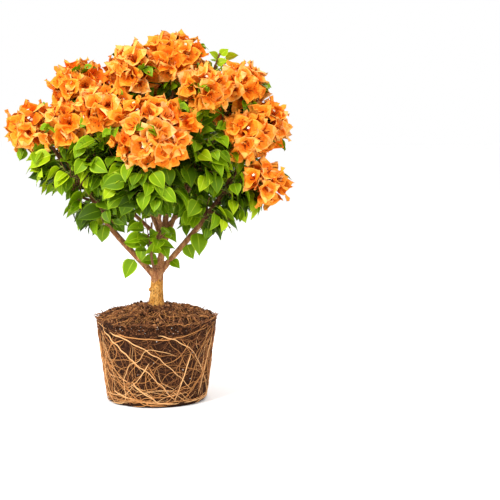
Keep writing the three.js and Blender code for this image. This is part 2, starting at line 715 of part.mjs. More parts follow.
const bush = new THREE.Group();
bush.add(mesh("root_ball", rootBall(), soil));
bush.add(mesh("trunk", limbSolid(limbs.trunk), paleBark));
for (const [name, one] of Object.entries(limbs))
  if (name !== "trunk") bush.add(mesh("bough_" + name, limbSolid(one), bark));
for (const mass of masses)
  bush.add(mass.flowers ? mesh(mass.name, headSolid(mass), bract) : mesh(mass.name, spraySolid(mass), green));

export default bush;
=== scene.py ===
import itertools
import math

import bpy
import numpy as np
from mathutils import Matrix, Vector, noise


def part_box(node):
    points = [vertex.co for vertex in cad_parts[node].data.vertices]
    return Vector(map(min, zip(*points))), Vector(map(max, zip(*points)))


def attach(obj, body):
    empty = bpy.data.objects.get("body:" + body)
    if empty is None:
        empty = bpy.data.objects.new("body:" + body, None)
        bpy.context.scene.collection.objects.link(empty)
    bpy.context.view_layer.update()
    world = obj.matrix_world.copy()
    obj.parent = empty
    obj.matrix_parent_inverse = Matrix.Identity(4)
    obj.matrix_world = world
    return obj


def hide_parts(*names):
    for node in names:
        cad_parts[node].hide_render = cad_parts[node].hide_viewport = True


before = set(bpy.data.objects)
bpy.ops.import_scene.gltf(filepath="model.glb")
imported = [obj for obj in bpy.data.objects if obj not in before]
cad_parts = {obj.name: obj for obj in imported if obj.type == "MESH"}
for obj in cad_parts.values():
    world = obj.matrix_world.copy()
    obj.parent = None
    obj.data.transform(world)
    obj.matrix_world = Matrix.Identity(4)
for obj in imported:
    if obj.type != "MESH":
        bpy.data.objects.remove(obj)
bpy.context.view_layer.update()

up = np.array((0.0, 0.0, 1.0))
fullTurn = 2 * math.pi
goldenTurn = math.pi * (3 - math.sqrt(5))
gap = 0.0003  # between a bough's tip and the stem that goes on from it
crownHeart = np.array((0, 0, 0.4))  # the point that heads of blossom face away from

trunkForm = {
    "top": (0.003, 0.001, 0.266),
    "bend": (0, 0, 0.226),
    "footRadius": 0.0165,
    "neckRadius": 0.0122,
    "topRadius": 0.0095,
    "swell": (1.12, 1.26),  # of its skin, foot and fork, where limbs run together
    "forkRun": 0.024,  # how far the skin goes on up each limb
    "forkSwell": (1.3, 0.9),
    "roots": {"count": 7, "from": 0.02, "reach": (0.026, 0.034), "radii": (0.0052, 0.0018)},
    "knot": {"at": 0.42, "out": (-0.0155, -0.004, 0.003), "radius": 0.0034},
    "brownAbove": 0.24,
}

# How boughs and stubs meet the masses, and how a mass's own stem goes on
limbForm = {
    "tipAt": 0.72,  # from a head's centre to its bough's tip, as a share of the head's half size
    "bowOut": 0.1,
    "bowDown": 0.05,
    "tipRadius": 0.0014,
    "taper": 0.36,
    "stubLength": 0.005,
    "stubRadius": 0.0028,
    "stemTip": 0.0021,
    "stemBend": 0.42,
    "shortOfHead": 0.3,  # where a stem ends: this side of a head's centre, or past a mass of leaves'
    "pastLeaves": 0.4,
    "checks": 60,  # places along each limb that keep leaves and twigs off it
}

# Blossom heads: the limb each bough grows on and how far along it, places that it passes, the head's centre
# and half sizes, its flowers, and the radius at the bough's foot
heads = {
    "top": {"on": "trunk", "at": 1, "via": [(0.012, 0, 0.3), (0.022, 0.008, 0.4), (0.028, 0.008, 0.54)],
            "centre": (0.042, 0.01, 0.668), "size": (0.082, 0.062, 0.062), "flowers": 30, "foot": 0.008},
    "left_tip": {"on": "trunk", "at": 0.74,
                 "via": [(-0.092, 0, 0.349), (-0.142, -0.008, 0.434), (-0.196, -0.002, 0.496)],
                 "centre": (-0.24, 0.005, 0.545), "size": (0.056, 0.05, 0.046), "flowers": 14,
                 "foot": 0.0066},
    "right_tip": {"on": "trunk", "at": 0.82,
                  "via": [(0.091, 0, 0.357), (0.15, -0.008, 0.44), (0.186, 0.002, 0.498)],
                  "centre": (0.212, 0.01, 0.552), "size": (0.054, 0.05, 0.05), "flowers": 16, "foot": 0.0064},
    "back": {"on": "top", "at": 0.21, "via": [(0.002, 0.066, 0.352)],
             "centre": (0, 0.18, 0.52), "size": (0.088, 0.058, 0.06), "flowers": 20, "foot": 0.006},
    "front": {"on": "top", "at": 0.35, "via": [(0.002, -0.052, 0.4)],
              "centre": (0.006, -0.14, 0.538), "size": (0.095, 0.058, 0.07), "flowers": 34, "foot": 0.0054},
    "upper_right": {"on": "top", "at": 0.27, "via": [(0.078, 0.006, 0.47)],
                    "centre": (0.166, 0.015, 0.622), "size": (0.056, 0.054, 0.058), "flowers": 20,
                    "foot": 0.0052},
    "upper_left": {"on": "top", "at": 0.31, "via": [(-0.052, 0.002, 0.476)],
                   "centre": (-0.148, 0.005, 0.626), "size": (0.058, 0.054, 0.05), "flowers": 18,
                   "foot": 0.0048},
    "front_left": {"on": "upper_left", "at": 0.4,
                   "centre": (-0.092, -0.092, 0.584), "size": (0.052, 0.046, 0.042), "flowers": 14,
                   "foot": 0.0036},
    "back_top": {"on": "top", "at": 0.62,
                 "centre": (0.005, 0.098, 0.618), "size": (0.08, 0.056, 0.052), "flowers": 18,
                 "foot": 0.0042},
    "top_left": {"on": "top", "at": 0.68,
                 "centre": (-0.034, -0.016, 0.655), "size": (0.06, 0.054, 0.058), "flowers": 20,
                 "foot": 0.0038},
    "right_centre": {"on": "upper_right", "at": 0.5,
                     "centre": (0.102, -0.084, 0.622), "size": (0.05, 0.042, 0.038), "flowers": 12,
                     "foot": 0.0034},
    "left": {"on": "left_tip", "at": 0.5,
             "centre": (-0.17, -0.04, 0.545), "size": (0.056, 0.05, 0.046), "flowers": 14, "foot": 0.0038},
    "right": {"on": "right_tip", "at": 0.47,
              "centre": (0.176, -0.058, 0.528), "size": (0.058, 0.05, 0.046), "flowers": 15, "foot": 0.0038},
    "low_right": {"on": "right_tip", "at": 0.6,
                  "centre": (0.208, -0.05, 0.44), "size": (0.058, 0.05, 0.042), "flowers": 10, "foot": 0.003,
                  "faces": (0.8, -0.6, -0.1)},
    "back_left": {"on": "back", "at": 0.3,
                  "centre": (-0.16, 0.102, 0.545), "size": (0.08, 0.064, 0.056), "flowers": 18,
                  "foot": 0.0046},
    "back_right": {"on": "back", "at": 0.38,
                   "centre": (0.156, 0.098, 0.542), "size": (0.076, 0.064, 0.056), "flowers": 18,
                   "foot": 0.0046},
}

# Masses of leaves: the limb each one grows on and how far along it, centre, half sizes and twigs. An open
# mass has leaves of one tone and no finer twigs, and a loose one has its leaves further apart.
sprays = {
    "neck": {"on": "trunk", "at": 0.9, "centre": (-0.004, -0.046, 0.348), "size": (0.06, 0.034, 0.04),
             "twigs": 6, "leafSize": 0.74, "open": "full", "loose": 2},
    "front": {"on": "front", "at": 0.5, "centre": (-0.008, -0.112, 0.442), "size": (0.098, 0.06, 0.062),
              "twigs": 26},
    "front_right": {"on": "upper_right", "at": 0.3, "centre": (0.098, -0.07, 0.484),
                    "size": (0.066, 0.062, 0.08), "twigs": 22},
    "left": {"on": "left_tip", "at": 0.4, "centre": (-0.178, -0.026, 0.468), "size": (0.068, 0.062, 0.056),
             "twigs": 24},
    "low_left": {"on": "left_tip", "at": 0.28, "centre": (-0.108, -0.028, 0.386),
                 "size": (0.068, 0.06, 0.054), "twigs": 20, "loose": 1.7},
    "right": {"on": "right_tip", "at": 0.36, "centre": (0.154, -0.022, 0.43), "size": (0.074, 0.066, 0.066),
              "twigs": 32},
    "front_left": {"on": "upper_left", "at": 0.3, "centre": (-0.098, -0.062, 0.482),
                   "size": (0.072, 0.066, 0.066), "twigs": 30},
    "low_right": {"on": "right_tip", "at": 0.28, "centre": (0.106, -0.03, 0.382),
                  "size": (0.068, 0.062, 0.054), "twigs": 24, "loose": 1.7},
    "heart": {"on": "top", "at": 0.58, "centre": (-0.014, -0.034, 0.52), "size": (0.1, 0.078, 0.08),
              "twigs": 22},
    "back_left": {"on": "back_left", "at": 0.5, "centre": (-0.112, 0.096, 0.45),
                  "size": (0.076, 0.062, 0.054), "twigs": 16, "loose": 1.4},
    "back_right": {"on": "back_right", "at": 0.5, "centre": (0.112, 0.096, 0.45),
                   "size": (0.076, 0.062, 0.054), "twigs": 16, "loose": 1.4},
    "back": {"on": "back", "at": 0.5, "centre": (0, 0.13, 0.412), "size": (0.086, 0.06, 0.06), "twigs": 18},
    "sprig": {"on": "top", "at": 0.88, "centre": (0.116, 0.026, 0.68), "size": (0.05, 0.042, 0.05),
              "twigs": 8, "leafSize": 0.55, "whorl": 9, "open": "young", "loose": 2},
}


# A seeded run of numbers from 0 to 1, the same one that the solids grow by
def seededRun(seed):
    state = [seed]
    low = 0xFFFFFFFF

    def nextNumber():
        state[0] = (state[0] + 0x6D2B79F5) & low
        mixed = ((state[0] ^ (state[0] >> 15)) * (1 | state[0])) & low
        mixed = ((mixed + (((mixed ^ (mixed >> 7)) * (61 | mixed)) & low)) & low) ^ mixed
        return ((mixed ^ (mixed >> 14)) & low) / 4294967296

    return nextNumber


def mix(a, b, share):
    return a + (b - a) * share


# A random number within limits, nearer to the first of them by a power above 1
def within(limits, random, power=1):
    return mix(*limits, random() ** power)


def pickTone(random, weights):
    pick = random()
    for name, weight in weights.items():
        if pick < weight:
            return name
        pick -= weight
    return name


def wobble(*place):
    return noise.noise(Vector(place))


def alternate(index):
    return 1 if index % 2 else -1


def clamped(share):
    return min(max(share, 0), 1)


def unit(vector):
    return vector / max(np.linalg.norm(vector), 1e-9)


# The part of a vector that stands square to a way, at length 1
def squareTo(way, vector):
    return unit(vector - way * vector.dot(way))


# The direction at an angle from one axis towards another that stands square to it
def turned(first, second, angle):
    return first * math.cos(angle) + second * math.sin(angle)


# A path is an array of points; a share from 0 to 1 says how far along it
def pointAt(path, share):
    place = clamped(share) * (len(path) - 1)
    first = min(int(place), len(path) - 2)
    return mix(path[first], path[first + 1], place - first)


def wayAt(path, share):
    return unit(pointAt(path, share + 0.01) - pointAt(path, share - 0.01))


def lengthOf(path):
    return float(np.linalg.norm(np.diff(path, axis=0), axis=1).sum())


def bentPath(start, middle, end, steps=24):
    share = np.linspace(0, 1, steps + 1)[:, None]
    return (1 - share) ** 2 * start + 2 * share * (1 - share) * middle + share ** 2 * end


# A smooth path through places, as Catmull and Rom's formula gives it
def smoothPath(places, steps=96):
    places = np.array(places, dtype=float)
    ends = [2 * places[0] - places[1]], [2 * places[-1] - places[-2]]
    padded = np.concatenate([ends[0], places, ends[1]])
    path = []
    for share in np.linspace(0, 1, steps + 1):
        run = share * (len(places) - 1)
        first = min(int(run), len(places) - 2)
        t = run - first
        a, b, c, d = padded[first:first + 4]
        leave, arrive = (c - a) / 2, (d - b) / 2
        path.append(b + leave * t + (3 * (c - b) - 2 * leave - arrive) * t ** 2
                    + (2 * (b - c) + leave + arrive) * t ** 3)
    return np.array(path)


# Many small shapes that become one mesh. A tone is the number of the material that a face takes.
class Heap:
    def __init__(self):
        self.corners = []
        self.faces = []
        self.tones = []
        self.count = 0

    def add(self, corners, faces, tones):
        self.corners.append(corners)
        self.faces.append(faces + self.count)
        self.tones.append(np.broadcast_to(tones, len(faces)))
        self.count += len(corners)

    # Faces are arrays of four corners, or of three
    def mesh(self, name):
        made = bpy.data.meshes.new(name)
        corners = np.concatenate(self.corners)
        sides = np.concatenate([np.full(len(faces), faces.shape[1]) for faces in self.faces])
        order = np.concatenate([faces.ravel() for faces in self.faces])
        made.vertices.add(len(corners))
        made.vertices.foreach_set("co", corners.ravel().astype(np.float32))
        made.loops.add(len(order))
        made.loops.foreach_set("vertex_index", order.astype(np.int32))
        made.polygons.add(len(sides))
        made.polygons.foreach_set("loop_start", (np.cumsum(sides) - sides).astype(np.int32))
        made.polygons.foreach_set("material_index", np.concatenate(self.tones).astype(np.int32))
        made.polygons.foreach_set("use_smooth", np.ones(len(sides), dtype=bool))
        made.update(calc_edges=True)
        made.validate()
        return made


def placed(name, data):
    made = bpy.data.objects.new(name, data)
    bpy.context.scene.collection.objects.link(made)
    return made


def pieceOf(name, mesh, finishes, replaced=()):
    piece = placed(name, mesh)
    for finish in finishes:
        mesh.materials.append(finish)
    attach(piece, "root")
    if replaced:
        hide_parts(*replaced)
    triangles = sum(len(face.vertices) - 2 for face in mesh.polygons)
    print(f"{name}: {triangles} triangles")
    return piece


# Faces between rings of corners, one ring after another
def ringFaces(rings, sides):
    ring, side = np.meshgrid(np.arange(rings - 1), np.arange(sides), indexing="ij")
    a = (ring * sides + side).ravel()
    b = (ring * sides + (side + 1) % sides).ravel()
    return np.stack([a, b, b + sides, a + sides], axis=1)


# The skin of a tube round a path
def tube(path, radii, sides=5):
    ways = np.gradient(path, axis=0)
    ways /= np.maximum(np.linalg.norm(ways, axis=1, keepdims=True), 1e-9)
    spokes = np.empty_like(ways)
    spoke = np.array((0.31, 0.87, 0.38))
    for ring, way in enumerate(ways):
        spoke = squareTo(way, spoke)
        spokes[ring] = spoke
    thirds = np.cross(ways, spokes)
    turns = np.linspace(0, fullTurn, sides, endpoint=False)
    radii = np.broadcast_to(radii, len(path))[:, None, None]
    spokes = spokes[:, None] * np.cos(turns)[None, :, None] + thirds[:, None] * np.sin(turns)[None, :, None]
    corners = (path[:, None] + spokes * radii).reshape(-1, 3)
    return corners, ringFaces(len(path), sides)


def thinned(path, steps, last=1):
    return np.array([pointAt(path, share) for share in np.linspace(0, last, steps + 1)])


# Places and radii along a limb
def limbRun(limb, last, steps, swell=(1, 1)):
    radii = np.array([limb["radiusAt"](share) for share in np.linspace(0, last, steps + 1)])
    return thinned(limb["path"], steps, last), radii * np.linspace(*swell, steps + 1)


# Limbs, each a path and a radius that tapers along it
def trunkRadius(share):
    flare = (trunkForm["footRadius"] - trunkForm["neckRadius"]) * (1 - share) ** 5
    return mix(trunkForm["neckRadius"], trunkForm["topRadius"], share) + flare


trunkFoot = np.array((0, 0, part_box("trunk")[0][2]))
limbs = {"trunk": {
    "path": bentPath(trunkFoot, np.array(trunkForm["bend"]), np.array(trunkForm["top"]), 60),
    "radiusAt": trunkRadius,
}}


# Half size of a mass along a direction
def along(size, way):
    return 1 / np.linalg.norm(way / np.array(size))


def facingOf(head):
    if "faces" in head:
        return unit(np.array(head["faces"]))
    return unit(unit(np.array(head["centre"]) - crownHeart) + 0.35 * up)


def taper(foot, end):
    return lambda share: mix(foot, end, share)


for name, head in heads.items():
    head["facing"] = facingOf(head)
    start = pointAt(limbs[head["on"]]["path"], head["at"])
    tip = np.array(head["centre"]) - head["facing"] * along(head["size"], head["facing"]) * limbForm["tipAt"]
    out = tip - start
    bow = out * (limbForm["bowOut"], limbForm["bowOut"], 0) - up * limbForm["bowDown"] * np.linalg.norm(out)
    path = smoothPath([start, *head.get("via", [start + out / 2 + bow]), tip])
    tipRadius = mix(limbForm["tipRadius"], head["foot"], limbForm["taper"])
    limbs[name] = {"path": path, "radiusAt": taper(head["foot"], tipRadius)}

for spray in sprays.values():
    limb = limbs[spray["on"]]
    start = pointAt(limb["path"], spray["at"])
    run = wayAt(limb["path"], spray["at"])
    way = unit(np.array(spray["centre"]) - start)
    way = unit(way - run * 0.8 * way.dot(run))
    end = start + way * (limb["radiusAt"](spray["at"]) + limbForm["stubLength"])
    spray["stub"] = {"path": np.array([start, end]),
                     "radiusAt": taper(limbForm["stubRadius"], limbForm["stubRadius"])}


# A mass's own stem goes on from the tip of its bough or stub
def massStem(mass):
    way = wayAt(mass["from"]["path"], 1)
    start = mass["from"]["path"][-1] + way * gap
    if "facing" in mass:
        back = limbForm["shortOfHead"] * along(mass["size"], mass["facing"])
        end = mass["middle"] - mass["facing"] * back
    else:
        onwards = unit(mass["middle"] - start)
        end = mass["middle"] + onwards * limbForm["pastLeaves"] * along(mass["size"], onwards)
    bend = start + way * np.linalg.norm(end - start) * limbForm["stemBend"]
    return {"path": bentPath(start, bend, end),
            "radiusAt": taper(mass["from"]["radiusAt"](1), limbForm["stemTip"])}


masses = [{**head, "name": "blossom_" + name, "from": limbs[name]} for name, head in heads.items()]
masses += [{**spray, "name": "foliage_" + name, "from": spray["stub"]} for name, spray in sprays.items()]
for index, mass in enumerate(masses):
    mass["seed"] = index + 1
    mass["middle"] = np.array(mass["centre"], dtype=float)
    mass["weight"] = np.mean(mass["size"]) ** 2
    mass["stem"] = massStem(mass)
middles = np.array([mass["middle"] for mass in masses])
weights = np.array([mass["weight"] for mass in masses])


# Each mass keeps to a space of its own: the points nearer to it than to any other, by centre and size
def inOwnSpace(mass, points, margin):
    reach = ((points[:, None] - middles[None]) ** 2).sum(axis=2) - weights
    own = mass["seed"] - 1
    apart = np.linalg.norm(middles - mass["middle"], axis=1)
    apart[own] = 1
    room = (reach - reach[:, own:own + 1]) / (2 * apart)
    room[:, own] = 1
    return room.min() > margin


limbChecks = [limbRun(limb, 1, limbForm["checks"]) for limb in limbs.values()]
limbPoints = np.concatenate([points for points, radii in limbChecks])
limbRadii = np.concatenate([radii for points, radii in limbChecks])


def clearOfLimbs(points, margin):
    apart = np.linalg.norm(points[:, None] - limbPoints[None], axis=2) - limbRadii
    return apart.min() > margin


# Two long boughs show from the front through the leaves
shownForm = {"boughs": ("left_tip", "right_tip"), "from": 0.1, "to": 0.8, "halfWidth": 0.0055}
shownPoints = np.array([pointAt(limbs[name]["path"], share) for name in shownForm["boughs"]
                        for share in np.linspace(shownForm["from"], shownForm["to"], 40)])


def hidesBough(points):
    apart = points[:, None] - shownPoints[None]
    aside = np.hypot(apart[..., 0], apart[..., 2])
    inFront = apart[..., 1] < 0
    return bool((inFront & (aside < shownForm["halfWidth"])).any())


# Whether points, given from the middle of a blade, lie on both sides of it within its reach
def cuts(points, face, half, clear):
    height = (points * face).sum(axis=2)
    inside = np.linalg.norm(points - height[..., None] * face, axis=2) < 0.8 * half
    low = np.where(inside, height, np.inf).min(axis=1)
    high = np.where(inside, height, -np.inf).max(axis=1)
    return bool(((low < clear) & (high > -clear)).any())


# Places of blades already grown, to keep the next ones from cutting through them
class Blades:
    def __init__(self):
        self.middles = np.empty((0, 3))
        self.faces = np.empty((0, 3))
        self.halves = np.empty(0)
        self.samples = np.empty((0, 9, 3))

    def crossing(self, samples, middle, face, half, clear):
        near = np.linalg.norm(self.middles - middle, axis=1) < self.halves + half
        if not near.any():
            return False
        others = samples[None] - self.middles[near][:, None]
        return (cuts(others, self.faces[near][:, None], self.halves[near][:, None], clear)
                or cuts(self.samples[near] - middle, face, half, clear))

    def add(self, samples, middle, face, half):
        self.middles = np.append(self.middles, middle[None], axis=0)
        self.faces = np.append(self.faces, face[None], axis=0)
        self.halves = np.append(self.halves, half)
        self.samples = np.append(self.samples, samples[None], axis=0)


# Half the width of a blade along it, 1 at its widest
def bladeOutline(share, shape):
    rise = (shape["foot"] + share) ** shape["rise"]
    return rise * (1 - share ** shape["fall"]) ** shape["point"] / shape["widest"]


# Places on a blade of length 1: how far along they lie, how far out, and on which side, from -1 to 1
def bladeGrid(form):
    share = np.linspace(0, 1, form["rows"] + 1)[:, None]
    side = np.array(form["columns"])[None]
    forward = share - form["slant"] * np.sin(math.pi * share) * (1 - abs(side))
    return forward, side * bladeOutline(share, form["outline"]), side


def gridFaces(rows, columns):
    row, column = np.meshgrid(np.arange(rows - 1), np.arange(columns - 1), indexing="ij")
    a = (row * columns + column).ravel()
    return np.stack([a, a + 1, a + 1 + columns, a + columns], axis=1)


# Leaves: broad, drawn out to a point, folded along the midrib, with their side veins pressed in
leafForm = {
    "length": 0.051,
    "width": 0.8,  # share of the length, as the petiole is
    "petiole": 0.18,
    "outline": {"foot": 0, "rise": 0.46, "fall": 1.55, "point": 1.4, "widest": 0.46},
    "rows": 9,
    "columns": (-1, -0.84, -0.44, -0.05, 0.05, 0.44, 0.84, 1),
    "slant": 0.1,  # how far side veins run forward on their way to the edge
    "relief": 0.0005,
    "curl": (0.35, 1.0),
    "fold": (0.12, 0.4),
    "wave": (0.008, 0.022),
    "sizes": (0.74, 1.14),
    "shrinks": (1, 0.84, 0.7),  # sizes tried in turn where room is short
    "lift": (0.4, 1.2),  # how far the face looks up
    "droop": (0.1, 1.2),
    "spacing": 0.0104,
    "overhang": 1.16,  # how far leaves stand past the half sizes of their mass
    "apart": 0.0016,
    "offLimbs": 0.002,
    # How far leaves may reach over into the space of the next mass
    "reachOver": {"twig": 0.004, "shoot": 0.03, "ruff": 0.035, "bough": 0.045, "lone": 0.2, "whorl": 0.2},
}
leafShares, leafHalves, leafSides = bladeGrid(leafForm)
pressed = np.where(np.arange(leafForm["rows"] + 1) % 2, 1.0, -1.0)[:, None]
leafVeins = pressed * abs(leafSides) * (1 - abs(leafSides)) * 4
leafFaces = gridFaces(*leafHalves.shape)
leafParts = np.tile((2, 0, 0, 1, 0, 0, 2), leafForm["rows"])  # blade, midrib or margin


def leafCorners(foot, way, face, length, curl, fold, wave):
    side = np.cross(way, face)
    bend = leafShares * curl
    forward = np.sin(bend) / curl * length
    drop = (1 - np.cos(bend)) / curl * length
    normal = face * np.cos(bend)[..., None] + way * np.sin(bend)[..., None]
    half = leafHalves * length * leafForm["width"] / 2
    lift = abs(half) * math.sin(fold) + leafForm["relief"] * leafVeins
    lift += wave * length * leafSides ** 2 * np.sin(leafShares * 9 + leafSides * 1.3)
    place = foot + way * forward[..., None] - face * drop[..., None]
    place = place + side * (half * math.cos(fold))[..., None] + normal * lift[..., None]
    return place.reshape(-1, 3)


# Nine points of a blade, by which it keeps to its space and clear of the rest
def leafSamples(start, way, face, length, curl):
    across = np.cross(way, face) * length * leafForm["width"] * 0.4
    spots = [start + way * length * part - face * curl * part * part * length / 2
             for part in (0.12, 0.4, 0.68, 0.95)]
    return np.array([*spots, spots[1] + across, spots[1] - across, spots[2] + across * 0.7,
                     spots[2] - across * 0.7, spots[0]])


# Ways that a leaf can go at a place on its twig, in the order tried
def leafChoices(path, share, side, fullLength, random):
    foot = pointAt(path, share)
    forward = wayAt(path, share)
    across = np.cross(forward, up)
    out = np.array((foot[0], foot[1], 0.0))
    out /= max(np.linalg.norm(out), 0.001)
    around = fullTurn * random()
    lift = within(leafForm["lift"], random)
    droop = within(leafForm["droop"], random)
    length = fullLength * within(leafForm["sizes"], random)
    for shrink in leafForm["shrinks"]:
        for sideways in (side, -side, 0.15 * side):
            for hang in (droop, 1.5 - droop):
                way = unit(forward * 0.5 + across * sideways * 1.1 + out * 0.2 - up * hang * 0.65)
                face = np.array((math.cos(around), math.sin(around), 0)) * 0.8 + out * 0.6 + up * lift
                face -= way * face.dot(way)
                if np.linalg.norm(face) < 0.1:
                    face = up - way * way[2]
                yield foot, way, unit(face), length * shrink


# Radii from foot to tip
twigRadii = {
    "twig": (0.0015, 0.0009),
    "fine": (0.001, 0.0006),
    "shoot": (0.0009, 0.0006),
    "petiole": (0.0009, 0.0007, 0.0006, 0.0005),
}
leafHeaps = {"lowerLeaves": Heap(), "upperLeaves": Heap()}
leafParting = 0.445  # height of the middle of a mass where the upper leaves begin
twigHeap = Heap()
leafBlades = Blades()
# The first finish of each tone set. Where leaves are toned by place, the tones are painted light and shade:
# darker inside a mass as painted shade, lighter far out and high up as painted light
leafTones = {"shade": 0, "deep": 3, "full": 6, "bright": 9, "young": 12}
twigTones = {"woody": 0, "green": 1, "petiole": 2, "stalk": 3}


# A leaf grows the first way that keeps it in its mass's space and clear of limbs and of other leaves
def growLeaf(mass, choices, random, tones, kind="twig"):
    curl = within(leafForm["curl"], random)
    fold = within(leafForm["fold"], random)
    wave = within(leafForm["wave"], random)
    for foot, way, face, length in choices:
        petiole = leafForm["petiole"] * length
        start = foot + way * petiole
        half = length * 0.45
        middle = start + way * half - face * 0.1 * length
        samples = leafSamples(start, way, face, length, curl)
        if "facing" not in mass and not mass.get("open"):
            reach = np.linalg.norm((samples - mass["middle"]) / mass["size"], axis=1).max()
            if reach > leafForm["overhang"] or hidesBough(samples):
                continue
        if not inOwnSpace(mass, samples, -leafForm["reachOver"][kind]):
            continue
        if not clearOfLimbs(samples, leafForm["offLimbs"]):
            continue
        if kind != "whorl" and leafBlades.crossing(samples, middle, face, half, leafForm["apart"]):
            continue
        leafBlades.add(samples, middle, face, half)
        heap = leafHeaps["upperLeaves" if mass["centre"][2] > leafParting else "lowerLeaves"]
        heap.add(leafCorners(start, way, face, length, curl, fold, wave), leafFaces, leafParts + tones)
        stalk = bentPath(foot, foot + way * petiole * 0.6 + up * 0.0015, start + way * 0.001, 3)
        twigHeap.add(*tube(stalk, np.array(twigRadii["petiole"]), 4), twigTones["petiole"])
        return


toneForm = {
    "inside": (0.3, 0.62),  # shares of a mass's half size within which leaves are painted dark, as shade
    "shadeWithin": 0.42,
    "limits": {"shade": 0.3, "deep": 0.75, "full": 1.2},  # from the trunk outwards and upwards, lighter the further out, as painted light
    "brightShare": 0.75,
}


# The tone of a leaf goes mostly by how far out it stands, with some chance in it. This is painted light and
# shade: leaves deep inside a mass are painted dark as shade, and those far out and high up are painted
# lighter as if lit
def toneSet(mass, place, random):
    depth = np.linalg.norm((place - mass["middle"]) / mass["size"])
    if "facing" not in mass and depth < mix(*toneForm["inside"], random()):
        return leafTones["shade" if depth < toneForm["shadeWithin"] else "deep"]
    out = math.hypot(place[0], place[1] * 0.6) / 0.15 + (place[2] - 0.36) / 0.9 + mix(-0.5, 0.5, random())
    for name, limit in toneForm["limits"].items():
        if out < limit:
            return leafTones[name]
    return leafTones["bright" if random() < toneForm["brightShare"] else "young"]


def tonesFor(mass, place, random):
    if "open" in mass:
        return leafTones[mass["open"]]
    return toneSet(mass, place, random)


def growStem(mass, steps):
    twigHeap.add(*tube(*limbRun(mass["stem"], 1, steps), 6), twigTones["woody"])
    return mass["stem"]["path"]


def growTwig(path, kind, tone, steps=5):
    radii = np.linspace(*twigRadii[kind], steps + 1)
    twigHeap.add(*tube(thinned(path, steps), radii, 4), twigTones[tone])


def leavesAlong(mass, path, fullLength, random, spacing, first=0.22):
    tones = tonesFor(mass, pointAt(path, 1), random)
    growLeaf(mass, leafChoices(path, 1, 0.2, fullLength, random), random, tones)
    count = max(1, round(lengthOf(path) * 0.8 / spacing))
    for step in range(count):
        side = alternate(step) * mix(0.4, 1, random())
        share = mix(first, 0.9, step / count)
        tones = tonesFor(mass, pointAt(path, share), random)
        growLeaf(mass, leafChoices(path, share, side, fullLength, random), random, tones)


# A mass of leaves: twigs leave the stem in turn and reach for the edge of the mass, finer twigs leave them on
# both sides, and all of them carry leaves
sprayForm = {
    "alongStem": (0.12, 0.93),
    "reach": (0.66, 0.9),
    "shrinks": (1, 0.75, 0.55),
    "finerAt": (0.35, 0.6, 0.85),
    "finerRise": (-0.4, 0.5),
    "finerLength": (0.3, 0.5),
    "finerLeaves": 0.9,
    "offLimbs": 0.001,
}


def growSpray(mass):
    stem = growStem(mass, 10)
    fullLength = leafForm["length"] * mass.get("leafSize", 1)
    spacing = leafForm["spacing"] * mass.get("loose", 1)
    twigs = []
    for index in range(mass["twigs"]):
        random = seededRun(mass["seed"] * 1000 + index)
        start = pointAt(stem, mix(*sprayForm["alongStem"], (index + 0.6) / mass["twigs"]))
        height = 1 - 2 * (index + 0.5) / mass["twigs"]
        turn = index * goldenTurn * 2 + mass["seed"] * 1.7 + 0.4 * (random() - 0.5)
        level = math.sqrt(1 - height * height)
        way = unit(np.array((level * math.cos(turn), level * math.sin(turn), height * 0.9)))
        reach = along(mass["size"], way) * within(sprayForm["reach"], random)
        for shrink in sprayForm["shrinks"]:
            end = mass["middle"] + way * reach * shrink
            middle = (start + end) / 2 + up * 0.006
            path = bentPath(start, middle, end, 10)
            if inOwnSpace(mass, np.array([middle, end]), 0) and clearOfLimbs(path[3:], sprayForm["offLimbs"]):
                growTwig(path, "twig", "woody", 6)
                leavesAlong(mass, path, fullLength, random, spacing)
                twigs.append((path, random))
                break
    if "open" not in mass:
        for path, random in twigs:
            growFinerTwigs(mass, path, fullLength * sprayForm["finerLeaves"], random, spacing)


def growFinerTwigs(mass, twig, fullLength, random, spacing):
    for order, share in enumerate(sprayForm["finerAt"]):
        start = pointAt(twig, share)
        forward = wayAt(twig, share)
        side = np.cross(forward, up) * alternate(order)
        way = unit(forward * 0.7 + side + up * within(sprayForm["finerRise"], random))
        end = start + way * lengthOf(twig) * within(sprayForm["finerLength"], random)
        path = bentPath(start, (start + end) / 2 + up * 0.003, end, 6)
        if inOwnSpace(mass, end[None], 0.002) and clearOfLimbs(path[2:], sprayForm["offLimbs"]):
            growTwig(path, "fine", "green")
            leavesAlong(mass, path, fullLength, random, spacing, 0.35)


# Blossom: three papery bracts in a cup, each with a slender flower on its midrib
bractForm = {
    "length": 0.04,
    "width": 0.88,  # share of the length
    "outline": {"foot": 0.05, "rise": 0.6, "fall": 1.95, "point": 1.35, "widest": 0.49},
    "rows": 8,
    "columns": (-1, -0.82, -0.45, -0.05, 0.05, 0.45, 0.82, 1),
    "slant": 0.07,
    "crinkle": 0.0025,
    "lean": 0.42,  # how far a bract leans out from the flower's axis at its foot, in radians
    "spread": 0.85,  # how much further it leans at its tip
    "cup": (0.0, 0.13),
    "lengths": (0.9, 1.08),
    "mix": {"vivid": 0.46, "soft": 0.26, "peach": 0.14, "deep": 0.14},  # shares of the tone sets
}
bractShares, bractHalves, bractSides = bladeGrid(bractForm)
bractFaces = gridFaces(*bractHalves.shape)


# Foot, blade, midrib and margin of a bract
def bractPartNumbers():
    parts = np.tile((3, 1, 1, 2, 1, 1, 3), (bractForm["rows"], 1))
    parts[2:-2:2, 2:5] = 2
    parts[:2] = 0
    parts[-2:] = 3
    return parts.ravel()


bractParts = bractPartNumbers()
bractTones = {"vivid": 0, "soft": 4, "peach": 8, "deep": 12}


